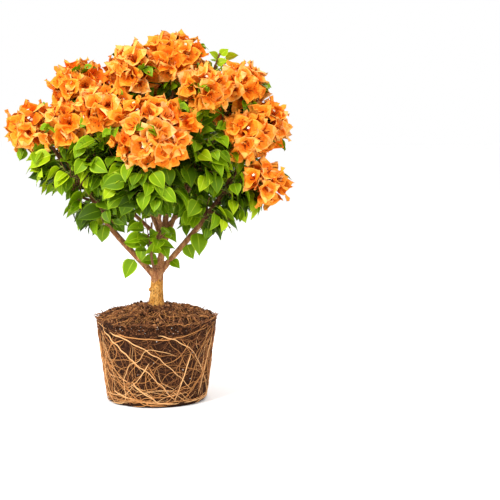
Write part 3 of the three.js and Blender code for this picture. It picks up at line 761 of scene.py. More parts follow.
def bractCorners(foot, axis, outward, length, lean, spread, cup, phase):
    side = np.cross(axis, outward)
    angle = lean + spread * bractShares
    forward = (np.sin(angle) - math.sin(lean)) / spread * length  # run along the axis
    outwards = (math.cos(lean) - np.cos(angle)) / spread * length
    inner = axis * np.sin(angle)[..., None] - outward * np.cos(angle)[..., None]
    half = bractHalves * length * bractForm["width"] / 2
    lift = abs(bractSides) ** 1.6 * cup * length * np.sin(math.pi * np.minimum(bractShares * 1.3, 1))
    ripple = np.sin(bractShares * 11 + phase) * bractSides + np.sin(bractShares * 7 - bractSides * 3 + phase)
    ripple = ripple + 0.7 * np.sin(bractSides * 9 + bractShares * 5 + phase * 2) * bractShares
    lift = lift + bractForm["crinkle"] * ripple
    place = foot + axis * forward[..., None] + outward * outwards[..., None]
    return (place + side * half[..., None] + inner * lift[..., None]).reshape(-1, 3)


bractHeap = Heap()
tubeHeap = Heap()
tubeTones = {"tube": 0, "throat": 1, "star": 2}
slenderForm = {
    "lengths": (0.4, 0.56),  # shares of the bract's
    "lean": (0.12, 0.4),
    "radii": (0.0007, 0.0009, 0.0007, 0.001, 0.0006),
    "openShare": 0.07,
    "starRadius": 0.0036,
    "throatRadius": 0.0012,
}
starFaces = np.array([(index, (index + 1) % 10, 10) for index in range(10)])


def starCorners(centre, axis, spoke, radius):
    turns = np.arange(10)[:, None] * math.pi / 5
    sizes = np.where(np.arange(10) % 2, 0.5, 1)[:, None] * radius
    spokes = spoke * np.cos(turns) + np.cross(axis, spoke) * np.sin(turns)
    return np.concatenate([centre + axis * 0.0006 + spokes * sizes, centre[None]])


# A slender flower stands on a bract's midrib, open to a pale star in places
def growSlenderFlower(foot, axis, outward, length, random):
    start = foot + axis * 0.002 + outward * 0.0012
    end = start + unit(axis + outward * within(slenderForm["lean"], random)) * length
    path = bentPath(start, (start + end) / 2 - outward * 0.001, end, 4)
    tubeHeap.add(*tube(path, np.array(slenderForm["radii"]), 5), tubeTones["tube"])
    if random() < slenderForm["openShare"]:
        centre = path[-1] + axis * 0.0004
        star = starCorners(centre, axis, outward, slenderForm["starRadius"])
        tubeHeap.add(star, starFaces, tubeTones["star"])
        throat = starCorners(centre + axis * 0.0005, axis, outward, slenderForm["throatRadius"])
        tubeHeap.add(throat, starFaces, tubeTones["throat"])


def growFlower(foot, axis, spoke, size, random):
    tones = bractTones[pickTone(random, bractForm["mix"])]
    length = bractForm["length"] * size
    lean = bractForm["lean"] * mix(0.5, 1.5, random())
    for index in range(3):
        turn = index * fullTurn / 3 + mix(-0.15, 0.15, random())
        outward = turned(spoke, np.cross(axis, spoke), turn)
        bractLength = length * within(bractForm["lengths"], random)
        bractLean = lean * mix(0.85, 1.2, random())
        spread = bractForm["spread"] * mix(0.6, 1.4, random())
        cup = within(bractForm["cup"], random)
        corners = bractCorners(foot, axis, outward, bractLength, bractLean, spread, cup, 6 * random())
        bractHeap.add(corners, bractFaces, bractParts + tones)
        slender = length * within(slenderForm["lengths"], random)
        growSlenderFlower(foot, axis, outward, slender, random)


# A head of blossom: flowers face away from the head's middle, on a golden spiral, in an outer and an inner
# layer, with a ruff of leaves under them and a leafy shoot in some flowers' stead
headForm = {
    "layers": ((1.42, 1), (0.7, 0.6)),  # shares of the head's flowers, and how far out they stand
    "depth": 0.024,
    "lowest": math.cos(math.radians(122)),
    "sizes": (0.88, 1.1),
    "shrinks": (1, 0.88, 0.76, 0.64),
    "height": 0.026,  # of a flower of size 1
    "nearest": 0.014,  # to the head's middle
    "clear": 0.004,
    "tilt": 0.5,
    "stalk": 0.0008,
    "shootEvery": 9,
    "shootLeaves": 5,
    "shootLength": 0.02,
    "shootLeaf": 0.026,
    "ruff": 12,
    "ruffDepth": (0.0, 0.024),
    "leafSizes": (0.6, 0.95),  # of the leaves under a head, as shares of a full leaf
}


def growShoot(mass, foot, axis, random):
    end = foot + axis * headForm["shootLength"]
    path = bentPath(foot, (foot + end) / 2 + up * 0.001, end, 5)
    growTwig(path, "shoot", "green")
    for step in range(headForm["shootLeaves"]):
        share = mix(0.3, 1, step / (headForm["shootLeaves"] - 1))
        choices = leafChoices(path, share, alternate(step), headForm["shootLeaf"], random)
        growLeaf(mass, choices, random, leafTones["full"], "shoot")


def growRuff(mass, hub, across, third):
    random = seededRun(mass["seed"] * 31)
    facing = mass["facing"]
    for index in range(headForm["ruff"]):
        outward = turned(across, third, index * goldenTurn)
        way = unit(outward - facing * mix(-0.3, 0.5, random()))
        face = squareTo(way, facing)
        foot = hub - facing * within(headForm["ruffDepth"], random)
        length = leafForm["length"] * within(headForm["leafSizes"], random)
        choices = [(foot, way, face, length * shrink) for shrink in leafForm["shrinks"]]
        growLeaf(mass, choices, random, leafTones["deep" if random() < 0.5 else "full"], "ruff")


# A flower, or a shoot in its stead, where there is room for it, on a stalk from the hub of the head
def growInHead(mass, hub, foot, axis, spoke, size, leafy, random):
    for shrink in headForm["shrinks"]:
        tips = foot + axis * size * shrink * headForm["height"]
        free = inOwnSpace(mass, np.array([foot, tips]), headForm["clear"])
        if free and clearOfLimbs(foot[None], headForm["clear"]):
            if leafy:
                growShoot(mass, foot, axis, random)
            else:
                growFlower(foot, axis, spoke, size * shrink, random)
            stalk = bentPath(hub, (hub + foot) / 2 + up * 0.004, foot, 5)
            twigHeap.add(*tube(stalk, headForm["stalk"], 4), twigTones["stalk"])
            return


def growHead(mass):
    hub = growStem(mass, 6)[-1]
    facing = mass["facing"]
    across = unit(np.cross((0.2, 0.3, 0.93), facing))
    third = np.cross(facing, across)
    growRuff(mass, hub, across, third)
    for layer, (share, pulled) in enumerate(headForm["layers"]):
        count = round(mass["flowers"] * share)
        for index in range(count):
            random = seededRun(mass["seed"] * 1000 + index + 500 * layer)
            height = 1 - (1 - headForm["lowest"]) * (index + 0.5) / count
            turn = index * goldenTurn + mass["seed"] + layer + 0.35 * (random() - 0.5)
            way = facing * height + turned(across, third, turn) * math.sqrt(1 - height * height)
            size = within(headForm["sizes"], random)
            reach = along(mass["size"], way) - size * headForm["depth"]
            foot = mass["middle"] + way * max(reach * pulled, headForm["nearest"])
            spoke = unit(np.cross(way, (0.3 + random(), random(), 0.5)))
            axis = unit(way + (np.array((random(), random(), random())) - 0.5) * headForm["tilt"])
            leafy = layer == 0 and index % headForm["shootEvery"] == 5
            growInHead(mass, hub, foot, axis, squareTo(axis, spoke), size, leafy, random)


# Single leaves stand along the outer part of the bough below each head
boughLeaves = {"from": 0.42, "part": 0.6, "spacing": 0.0075}


def growBoughLeaves(mass):
    random = seededRun(mass["seed"] * 77)
    path = mass["from"]["path"]
    count = int(lengthOf(path) * boughLeaves["part"] / boughLeaves["spacing"])
    for step in range(count):
        share = mix(boughLeaves["from"], 1, (step + 0.5) / count)
        side = alternate(step) * mix(0.5, 1, random())
        # Painted light and shade: the tone goes by how far out and up the leaf stands
        tones = toneSet(mass, pointAt(path, share), random)
        length = leafForm["length"] * within(headForm["leafSizes"], random)
        growLeaf(mass, leafChoices(path, share, side, length, random), random, tones, "bough")


# Single leaves in the open fork: the limb each hangs from, where that is (across and up), its way and length
loneLeaves = [
    {"on": "left_tip", "near": (-0.04, 0.288), "way": (-0.5, -0.3, -0.8), "length": 0.044},
    {"on": "left_tip", "near": (-0.1, 0.36), "way": (-0.3, -0.3, -1), "length": 0.04},
    {"on": "right_tip", "near": (0.084, 0.346), "way": (0.22, -0.5, -0.9), "length": 0.048},
    {"on": "right_tip", "near": (0.06, 0.32), "way": (0.35, -0.4, -0.85), "length": 0.034},
    {"on": "right_tip", "near": (0.03, 0.284), "way": (0.5, -0.6, -0.3), "length": 0.026},
    {"on": "top", "near": (0.0, 0.285), "way": (-0.9, -0.6, 0.1), "length": 0.036},
    {"on": "top", "near": (0.004, 0.32), "way": (-0.3, -0.7, -0.8), "length": 0.042},
    {"on": "left_tip", "near": (-0.02, 0.275), "way": (-0.3, -0.7, -0.5), "length": 0.022},
    {"on": "top", "near": (0.01, 0.34), "way": (0.5, -0.7, -0.6), "length": 0.034},
]
loneShrinks = (1, 0.85, 0.7)


def growLoneLeaves():
    random = seededRun(515)
    neck = next(mass for mass in masses if mass["name"] == "foliage_neck")
    for leaf in loneLeaves:
        path = limbs[leaf["on"]]["path"]
        nearest = np.argmin((path[:, 0] - leaf["near"][0]) ** 2 + (path[:, 2] - leaf["near"][1]) ** 2)
        way = unit(np.array(leaf["way"]))
        face = squareTo(way, np.array((mix(-0.4, 0.4, random()), -1, mix(0.1, 0.7, random()))))
        choices = [(path[nearest], way, face, leaf["length"] * shrink) for shrink in loneShrinks]
        growLeaf(neck, choices, random, leafTones["full"], "lone")


# Leaves round the tip of a mass's own stem
def growWhorl(mass):
    random = seededRun(mass["seed"] * 55)
    for step in range(mass["whorl"]):
        turn = step * goldenTurn
        share = step / mass["whorl"]
        foot = pointAt(mass["stem"]["path"], mix(0.7, 1, share))
        way = unit(np.array((math.cos(turn), math.sin(turn), mix(0.1, 0.9, share))))
        face = squareTo(way, np.array((0.4 * math.sin(turn * 2), -1, 0.6)))
        length = leafForm["length"] * mass["leafSize"] * mix(1.1, 0.8, share)
        growLeaf(mass, [(foot, way, face, length)], random, leafTones["bright"], "whorl")


growLoneLeaves()
for mass in masses:
    if "whorl" in mass:
        growWhorl(mass)
for mass in masses:
    grow = growHead if "flowers" in mass else growSpray
    grow(mass)
for mass in masses:
    if "flowers" in mass:
        growBoughLeaves(mass)
print(len(leafBlades.middles), "leaves,", len(bractHeap.faces) // 3, "flowers")


# A colour given as a screen shows it, from 0 to 255
def screenColour(red, green, blue):
    shares = [part / 255 for part in (red, green, blue)]
    return tuple(part / 12.92 if part < 0.04 else ((part + 0.055) / 1.055) ** 2.4 for part in shares) + (1,)


def newFinish(name, roughness, specular):
    finish = bpy.data.materials.new(name)
    finish.use_nodes = True
    shader = finish.node_tree.nodes["Principled BSDF"]
    shader.inputs["Roughness"].default_value = roughness
    shader.inputs["Specular IOR Level"].default_value = specular
    return finish, shader


def plainFinish(name, colour, roughness, specular=0.2):
    finish, shader = newFinish(name, roughness, specular)
    shader.inputs["Base Color"].default_value = screenColour(*colour)
    return finish


def tonedFinishes(kind, parts, sets, roughness, specular):
    return [plainFinish(f"{part} of {name} {kind}", colour, roughness, specular)
            for name, colours in sets.items()
            for part, colour in zip(parts, colours)]


# Blade, midrib and margin of the leaves of each tone set
leafColours = {
    "shade": ((56, 82, 0), (92, 118, 14), (84, 112, 8)),
    "deep": ((84, 117, 0), (130, 158, 22), (120, 152, 14)),
    "full": ((112, 147, 0), (164, 188, 36), (152, 182, 24)),
    "bright": ((148, 176, 2), (192, 207, 50), (180, 200, 34)),
    "young": ((166, 190, 14), (196, 212, 60), (178, 200, 30)),
}
leafFinishes = tonedFinishes("leaf", ("blade", "midrib", "margin"), leafColours, 0.5, 0.15)

# Foot, blade, midrib and margin of the bracts of each tone set
bractColours = {
    "vivid": ((226, 92, 4), (244, 138, 24), (234, 112, 10), (252, 162, 54)),
    "soft": ((236, 112, 12), (252, 152, 42), (242, 126, 24), (255, 182, 90)),
    "peach": ((242, 128, 24), (255, 168, 64), (248, 142, 38), (255, 196, 118)),
    "deep": ((208, 74, 2), (236, 112, 10), (224, 92, 4), (246, 136, 30)),
}
bractFinishes = tonedFinishes("bract", ("foot", "blade", "midrib", "margin"), bractColours, 0.65, 0.12)
tubeFinishes = [plainFinish("slender flower", (150, 58, 16), 0.6),
                plainFinish("flower throat", (238, 206, 84), 0.6),
                plainFinish("flower star", (250, 244, 226), 0.6)]
twigFinishes = [plainFinish("woody twig", (124, 84, 54), 0.75),
                plainFinish("green shoot", (126, 138, 52), 0.6),
                plainFinish("leaf stalk", (138, 162, 62), 0.55),
                plainFinish("flower stalk", (150, 142, 62), 0.6)]


# Node group for mottled skins, bark and peat alike: patches of a second colour, dark flecks, and a height
def mottledGroup():
    group = bpy.data.node_groups.new("Mottled skin", "ShaderNodeTree")
    for name, kind in (("Base", "Color"), ("Patch", "Color"), ("Fleck", "Color"), ("Grain", "Float"),
                       ("Stretch", "Vector"), ("Fleck share", "Float")):
        group.interface.new_socket(name=name, in_out="INPUT", socket_type="NodeSocket" + kind)
    for name, kind in (("Colour", "Color"), ("Height", "Float")):
        group.interface.new_socket(name=name, in_out="OUTPUT", socket_type="NodeSocket" + kind)
    nodes, links = group.nodes, group.links
    given = nodes.new("NodeGroupInput").outputs
    result = nodes.new("NodeGroupOutput").inputs

    def joined(kind, operation, first, second):
        node = nodes.new(kind)
        node.operation = operation
        links.new(first, node.inputs[0])
        links.new(second, node.inputs[1])
        return node.outputs[0]

    def patches(scale, detail, low, high):
        size = nodes.new("ShaderNodeMath")
        size.operation = "MULTIPLY"
        size.inputs[1].default_value = scale
        links.new(given["Grain"], size.inputs[0])
        cloud = nodes.new("ShaderNodeTexNoise")
        cloud.inputs["Detail"].default_value = detail
        links.new(stretched, cloud.inputs["Vector"])
        links.new(size.outputs[0], cloud.inputs["Scale"])
        spread = nodes.new("ShaderNodeMapRange")
        spread.inputs["From Min"].default_value = low
        spread.inputs["From Max"].default_value = high
        links.new(cloud.outputs["Fac"], spread.inputs["Value"])
        return spread.outputs["Result"]

    def blended(share, first, second):
        blend = nodes.new("ShaderNodeMix")
        blend.data_type = "RGBA"
        for name, value in (("Factor", share), ("A", first), ("B", second)):
            links.new(value, blend.inputs[name])
        return blend.outputs["Result"]

    place = nodes.new("ShaderNodeTexCoord").outputs["Object"]
    stretched = joined("ShaderNodeVectorMath", "MULTIPLY", place, given["Stretch"])
    broad = patches(1, 3, 0.4, 0.62)
    fine = patches(5, 4, 0.52, 0.66)
    patched = blended(broad, given["Base"], given["Patch"])
    share = joined("ShaderNodeMath", "MULTIPLY", fine, given["Fleck share"])
    links.new(blended(share, patched, given["Fleck"]), result["Colour"])
    links.new(joined("ShaderNodeMath", "SUBTRACT", broad, fine), result["Height"])
    return group


mottled = mottledGroup()


# Colours of the mottled skins, how fine and how stretched their patches are, and the depth of their relief
skins = {
    "golden tan bark": {"Base": (200, 136, 58), "Patch": (226, 168, 88), "Fleck": (112, 66, 30), "Grain": 140,
                        "Stretch": (1, 1, 0.45), "Fleck share": 0.85, "roughness": 0.8, "relief": 0.0012},
    "reddish brown bark": {"Base": (156, 100, 62), "Patch": (198, 142, 92), "Fleck": (92, 54, 32),
                           "Grain": 160, "Stretch": (1, 1, 0.4), "Fleck share": 0.7, "roughness": 0.75,
                           "relief": 0.0008},
    "dark peat": {"Base": (50, 27, 15), "Patch": (76, 45, 26), "Fleck": (26, 14, 9), "Grain": 180,
                  "Stretch": (1, 1, 1), "Fleck share": 0.9, "roughness": 0.95, "relief": 0.002},
}


def mottledFinish(name):
    skin = skins[name]
    finish, shader = newFinish(name, skin["roughness"], 0.15)
    nodes, links = finish.node_tree.nodes, finish.node_tree.links
    mottle = nodes.new("ShaderNodeGroup")
    mottle.node_tree = mottled
    for socket in ("Base", "Patch", "Fleck"):
        mottle.inputs[socket].default_value = screenColour(*skin[socket])
    for socket in ("Grain", "Stretch", "Fleck share"):
        mottle.inputs[socket].default_value = skin[socket]
    bump = nodes.new("ShaderNodeBump")
    bump.inputs["Distance"].default_value = skin["relief"]
    links.new(mottle.outputs["Colour"], shader.inputs["Base Color"])
    links.new(mottle.outputs["Height"], bump.inputs["Height"])
    links.new(bump.outputs["Normal"], shader.inputs["Normal"])
    return finish


trunkBark = mottledFinish("golden tan bark")
boughBark = mottledFinish("reddish brown bark")
peat = mottledFinish("dark peat")


def closedEnds(path, radii):
    first = path[0] - unit(path[1] - path[0]) * 0.0003
    last = path[-1] + unit(path[-1] - path[-2]) * 0.0003
    return np.concatenate([[first], path, [last]]), np.concatenate([[1e-5], radii, [1e-5]])


# One skin round limbs that run into each other, smoothed at the forks, then given its bark's relief
def barkedMesh(name, runs, voxel, relief, grain):
    heap = Heap()
    for path, radii in runs:
        corners, faces = tube(*closedEnds(path, radii), 12)
        heap.add(corners, faces, 0)
    rough = placed(name + "Rough", heap.mesh(name + "Rough"))
    remesh = rough.modifiers.new("skin", "REMESH")
    remesh.mode = "VOXEL"
    remesh.voxel_size = voxel
    smooth = rough.modifiers.new("forks", "SMOOTH")
    smooth.factor = 0.5
    smooth.iterations = 4
    evaluated = rough.evaluated_get(bpy.context.evaluated_depsgraph_get())
    made = bpy.data.meshes.new_from_object(evaluated)
    bpy.data.objects.remove(rough)
    made.name = name
    places = np.empty(3 * len(made.vertices), dtype=np.float32)
    normals = np.empty_like(places)
    made.vertices.foreach_get("co", places)
    made.vertices.foreach_get("normal", normals)
    places = places.reshape(-1, 3)
    ridges = np.array([noise.fractal(Vector((x, y, z * 0.35)) * grain, 1.0, 2.0, 3)
                       + 0.5 * noise.noise(Vector((x, y, z)) * grain * 2.2) for x, y, z in places])
    places += normals.reshape(-1, 3) * ridges[:, None] * relief
    made.vertices.foreach_set("co", places.ravel())
    made.polygons.foreach_set("use_smooth", np.ones(len(made.polygons), dtype=bool))
    return made


# Roots run out from the trunk's foot under its flare, and a knot stands out on its left
def trunkRuns():
    runs = [limbRun(limbs["trunk"], 1, 30, trunkForm["swell"])]
    for name, head in heads.items():
        if head["on"] == "trunk":
            share = trunkForm["forkRun"] / lengthOf(limbs[name]["path"])
            runs.append(limbRun(limbs[name], share, 8, trunkForm["forkSwell"]))
    roots = trunkForm["roots"]
    for index in range(roots["count"]):
        turn = index * fullTurn / roots["count"] + 0.5 * math.sin(index * 5)
        out = np.array((math.cos(turn), math.sin(turn), 0))
        start = trunkFoot + up * roots["from"]
        end = trunkFoot + out * mix(*roots["reach"], math.sin(index * 3) ** 2) - up * 0.004
        path = bentPath(start, trunkFoot + out * 0.015 + up * 0.004, end, 10)
        runs.append((path, np.linspace(*roots["radii"], 11)))
    knot = trunkForm["knot"]
    start = pointAt(limbs["trunk"]["path"], knot["at"])
    end = start + np.array(knot["out"])
    runs.append((bentPath(start, (start + end) / 2, end, 4), np.full(5, knot["radius"])))
    return runs


# The trunk's golden bark gives way to the boughs' brown a little below the fork
def brownedAbove(mesh, height):
    for face in mesh.polygons:
        edge = 0.007 * noise.noise(face.center * 150)
        face.material_index = 1 if face.center.z + edge > height else 0


trunkMesh = barkedMesh("barkedTrunk", trunkRuns(), 0.001, 0.0007, 220)
brownedAbove(trunkMesh, trunkForm["brownAbove"])
pieceOf("barkedTrunk", trunkMesh, [trunkBark, boughBark], ["trunk"])
boughMesh = barkedMesh("barkedBoughs", [limbRun(limbs[name], 1, 40) for name in heads], 0.0015, 0.0004, 260)
pieceOf("barkedBoughs", boughMesh, [boughBark], ["bough_" + name for name in heads])

massNames = [mass["name"] for mass in masses]
foliageNames = [name for name in massNames if name.startswith("foliage")]
blossomNames = [name for name in massNames if name.startswith("blossom")]
pieceOf("twigs", twigHeap.mesh("twigs"), twigFinishes, massNames)
for name, heap in leafHeaps.items():
    pieceOf(name, heap.mesh(name), leafFinishes, foliageNames)
pieceOf("bracts", bractHeap.mesh("bracts"), bractFinishes, blossomNames)
pieceOf("slenderFlowers", tubeHeap.mesh("slenderFlowers"), tubeFinishes, blossomNames)

# The root ball: crumbling peat that keeps the pot's shape, matted with roots
ball = {
    "footRadius": 0.098,
    "rimRadius": 0.119,
    "rimHeight": 0.164,
    "moundHeight": 0.186,
    "seatRadius": 0.024,
    "bandTop": 0.165,
    "bandFoot": 0.15,
    "bandDepth": 0.0045,
    "bandHalfAngle": 42,  # the bare band shows this far round from the front
    "sideLumps": 0.0012,
    "moundLumps": 0.005,
    "corners": 260,  # round the ball
    "rows": {"foot": 8, "side": 70, "mound": 46},
}


# Angles on the ball are in radians from its front
def degreesFromFront(angle):
    return abs((math.degrees(angle) + 180) % 360 - 180)


def atAngle(angle, radius, height=0.0):
    return np.array((radius * math.sin(angle), -radius * math.cos(angle), height))


def lumps(angle, height, scale=1.0):
    place = Vector((math.sin(angle), math.cos(angle), height * 9)) * 7 * scale
    return noise.fractal(place, 0.9, 2.1, 4)


def inBand(angle, height):
    beside = clamped((degreesFromFront(angle) - ball["bandHalfAngle"] + 8) / 12)
    middle = (ball["bandTop"] + ball["bandFoot"]) / 2
    return (1 - beside) * (1 - min(abs(height - middle) / (ball["bandTop"] - middle), 1) ** 4)


def sidePoint(angle, height, proud=0.0):
    radius = mix(ball["footRadius"], ball["rimRadius"], height / ball["rimHeight"])
    radius += ball["sideLumps"] * lumps(angle, height) - ball["bandDepth"] * inBand(angle, height) + proud
    return atAngle(angle, radius, height)


# Height up to which roots mat the side: under the bare band in front, and up to the rim elsewhere
def matTop(angle):
    beside = degreesFromFront(angle) + 9 * wobble(angle * 5, 3, 1)
    share = clamped((beside - ball["bandHalfAngle"] + 6) / 10)
    ragged = 0.003 * wobble(angle * 9, 0, 4)
    return mix(ball["bandFoot"] - 0.002, ball["rimHeight"] + 0.001, share) + ragged


def moundPoint(angle, radius, proud=0.0):
    share = clamped((radius - ball["seatRadius"]) / (ball["rimRadius"] - ball["seatRadius"]))
    height = mix(ball["moundHeight"] + 0.002, ball["rimHeight"] + 0.001, share ** 1.35)
    height += ball["moundLumps"] * lumps(angle, radius * 1.3, 0.7) * clamped(share * 3) + proud
    return atAngle(angle, radius, height)


def peatMesh():
    angles = np.linspace(0, fullTurn, ball["corners"], endpoint=False)
    rows = [(atAngle, np.linspace(0, ball["footRadius"] - 0.004, ball["rows"]["foot"])),
            (sidePoint, np.linspace(0.003, ball["rimHeight"] - 0.003, ball["rows"]["side"])),
            (moundPoint, np.linspace(ball["rimRadius"] - 0.002, 0.001, ball["rows"]["mound"]))]
    corners = [pointFor(angle, place) for pointFor, places in rows for place in places for angle in angles]
    heap = Heap()
    heap.add(np.array(corners), ringFaces(sum(ball["rows"].values()), ball["corners"]), 0)
    return heap.mesh("peatBall")


# Roots that show on the ball's side: angle from the front and height at each end, how far the run bellies
# upwards, and radius
mainRoots = [
    {"from": (-58, 0.152), "to": (26, 0.012), "belly": 0.006, "radius": 0.0018},
    {"from": (-47, 0.149), "to": (44, 0.03), "belly": 0.022, "radius": 0.0017},
    {"from": (-40, 0.146), "to": (62, 0.158), "belly": -0.012, "radius": 0.0017},
    {"from": (5, 0.147), "to": (66, 0.052), "belly": 0.02, "radius": 0.0015},
    {"from": (-30, 0.136), "to": (-72, 0.04), "belly": 0.026, "radius": 0.0016},
    {"from": (40, 0.108), "to": (24, 0.014), "belly": -0.004, "radius": 0.0017},
    {"from": (-4, 0.092), "to": (-30, 0.04), "belly": -0.01, "radius": 0.0015},
    {"from": (-24, 0.052), "to": (30, 0.009), "belly": -0.016, "radius": 0.0017},
    {"from": (74, 0.132), "to": (56, 0.016), "belly": 0.008, "radius": 0.0018},
    {"from": (-52, 0.03), "to": (27, 0.009), "belly": -0.008, "radius": 0.0014},
    {"from": (64, 0.078), "to": (28, 0.011), "belly": -0.012, "radius": 0.0014},
    {"from": (-6, 0.086), "to": (27, 0.012), "belly": -0.01, "radius": 0.0012},
    {"from": (66, 0.15), "to": (38, 0.03), "belly": 0.014, "radius": 0.0014},
    {"from": (-66, 0.09), "to": (-22, 0.022), "belly": 0.014, "radius": 0.0014},
    {"from": (-78, 0.12), "to": (-60, 0.012), "belly": 0.006, "radius": 0.0018},
]


def backRoots(count):
    random = seededRun(11)
    for index in range(count):
        angle = 95 + 170 * (index + 0.5) / count + 20 * (random() - 0.5)
        lean = (-1 if random() < 0.5 else 1) * mix(25, 70, random())
        start = mix(0.12, 0.152, random())
        yield {"from": (angle, start), "to": (angle + lean, mix(0.012, 0.06, random())),
               "belly": mix(-0.012, 0.022, random()), "radius": mix(0.0015, 0.0021, random())}


def mainRun(root, steps=34):
    path = []
    for step in range(steps + 1):
        share = step / steps
        angle = math.radians(mix(root["from"][0], root["to"][0], share))
        height = mix(root["from"][1], root["to"][1], share) + root["belly"] * math.sin(math.pi * share)
        waver = 0.003 * wobble(angle * 6, height * 60, root["radius"] * 9000)
        height = max(height + waver, 0.003)
        path.append(sidePoint(angle + waver * 7, height, 0.0015 + root["radius"] * 0.4))
    return np.array(path)


# How sharply roots bend from side to side and in and out, on the ball's side and on the mound
rootForm = {
    "side": {"bend": 0.5, "lift": 0.0008},
    "mound": {"bend": 0.6, "lift": 0.0014},
    "foot": 0.012,  # below this height roots turn to run round the ball
    "lowest": 0.0025,
    "meanRadius": 0.11,  # of the ball
}


# A root that wanders over the ball's side
def sideRun(random, angle, height, heading, length, proud, step):
    path = []
    start = random() * 100
    for count in range(int(length / step)):
        heading += rootForm["side"]["bend"] * wobble(start, count * 0.22, 0)
        if height < rootForm["foot"] and math.sin(heading) < 0.1:
            heading = 0.05 if math.cos(heading) > 0 else math.pi - 0.05
        if height > matTop(angle) - 0.004 and math.sin(heading) > -0.2:
            heading = -0.3 if math.cos(heading) > 0 else math.pi + 0.3
        angle += step * math.cos(heading) / rootForm["meanRadius"]
        height = min(max(height + step * math.sin(heading), rootForm["lowest"]), matTop(angle))
        lift = proud + rootForm["side"]["lift"] * wobble(start, count * 0.3, 5)
        path.append(sidePoint(angle, height, lift))
    return np.array(path)


def moundRun(random, angle, radius, heading, length, proud, step):
    path = []
    start = random() * 100
    x, y = radius * math.sin(angle), -radius * math.cos(angle)
    for count in range(int(length / step)):
        heading += rootForm["mound"]["bend"] * wobble(start, count * 0.22, 9)
        x += step * math.cos(heading)
        y += step * math.sin(heading)
        out = min(math.hypot(x, y), ball["rimRadius"] + 0.004)
        lift = proud + rootForm["mound"]["lift"] * wobble(start, count * 0.3, 2)
        path.append(moundPoint(math.atan2(x, -y), out, lift))
    return np.array(path)


# Where a root of each kind starts: its angle, its height or its distance from the trunk, and its heading
def sideStart(random, index):
    heading = -mix(0.15, math.pi - 0.15, random())
    return fullTurn * random(), within((0.03, 0.16), random, 0.7), heading


# Under the rim, beside the bare band and behind
def upperStart(random, index):
    return math.radians(mix(48, 312, random())), mix(0.138, 0.163, random()), fullTurn * random()


def fineStart(random, index):
    return fullTurn * random(), within((0.004, 0.163), random, 0.8), fullTurn * random()


def footStart(random, index):
    heading = 0.03 if random() < 0.5 else math.pi - 0.03
    return fullTurn * random(), within((0.002, 0.011), random, 1.4), heading


# Down both edges of the ball as the front shows it
def edgeStart(random, index):
    angle = alternate(index) * math.radians(mix(58, 125, random()))
    heading = -math.pi / 2 + mix(-0.35, 0.35, random())
    return angle, mix(0.08, 0.162, random()), heading


def moundStart(random, index):
    angle = fullTurn * random()
    heading = angle - math.pi / 2 + mix(-1.3, 1.3, random())
    return angle, mix(0.02, 0.1, random()), heading


def moundFineStart(random, index):
    return fullTurn * random(), within((0.02, 0.117), random, 0.6), fullTurn * random()


rootHeaps = {"mattedRoots": Heap(), "rootFibres": Heap()}
rootTones = {"golden": 0, "pale": 1, "tan": 2, "brown": 3}
middling = {"golden": 0.26, "tan": 0.36, "brown": 0.34, "pale": 0.04}
dark = {"tan": 0.36, "brown": 0.54, "golden": 0.1}
warm = {"tan": 0.4, "brown": 0.15, "golden": 0.45}
rootKinds = [
    {"count": 240, "start": sideStart, "run": sideRun, "lengths": (0.05, 0.18), "proud": (0.0004, 0.0026),
     "radii": (0.0004, 0.0008), "power": 1.8, "tones": middling},
    {"count": 110, "start": upperStart, "run": sideRun, "lengths": (0.03, 0.09), "proud": (0.0006, 0.0026),
     "radii": (0.0004, 0.0009), "tones": middling},
    {"count": 1000, "start": fineStart, "run": sideRun, "lengths": (0.02, 0.06), "proud": (0.0002, 0.002),
     "radii": (0.00025, 0.0005), "tones": dark, "fine": True},
    {"count": 46, "start": footStart, "run": sideRun, "lengths": (0.12, 0.3), "proud": (0.0008, 0.0028),
     "radii": (0.0005, 0.001), "tones": {"golden": 0.7, "pale": 0.3}, "end": 0.7},
    {"count": 130, "start": edgeStart, "run": sideRun, "lengths": (0.06, 0.14), "proud": (0.0008, 0.003),
     "radii": (0.0004, 0.0008), "tones": {"golden": 0.6, "pale": 0.1, "tan": 0.3}},
    {"count": 190, "start": moundStart, "run": moundRun, "lengths": (0.03, 0.1), "proud": (0.002, 0.005),
     "radii": (0.0006, 0.0011), "power": 1.5, "tones": warm},
    {"count": 700, "start": moundFineStart, "run": moundRun, "lengths": (0.015, 0.05),
     "proud": (0.001, 0.0055), "radii": (0.0003, 0.0006), "tones": warm, "fine": True},
]
strays = {"count": 620, "atRim": 0.4, "mound": (0.02, 0.115), "lengths": (0.006, 0.02),
          "radii": (0.00035, 0.0008)}


def addRoot(path, radius, sides, tone, end=0.45):
    shares = np.linspace(0, 1, len(path))
    radii = radius * np.linspace(1, end, len(path)) * np.minimum(0.25 + 9 * np.minimum(shares, 1 - shares), 1)
    rootHeaps["mattedRoots" if sides > 3 else "rootFibres"].add(*tube(path, radii, sides), rootTones[tone])


# A root's end that stands out at the rim or on the mound
def growStray(random):
    angle = fullTurn * random()
    radius = ball["rimRadius"] if random() < strays["atRim"] else within(strays["mound"], random)
    start = moundPoint(angle, radius, -0.001)
    out = atAngle(angle, 1)
    side = np.cross(up, out)
    way = unit(out * mix(0, 0.7, random()) + side * mix(-1, 1, random()) + up * mix(0.1, 0.75, random()))
    length = within(strays["lengths"], random, 1.5)
    bend = start + way * length * 0.5 + up * 0.001
    path = bentPath(start, bend, start + way * length + side * mix(-0.003, 0.003, random()), 5)
    addRoot(path, within(strays["radii"], random), 3, pickTone(random, dark), 0.7)


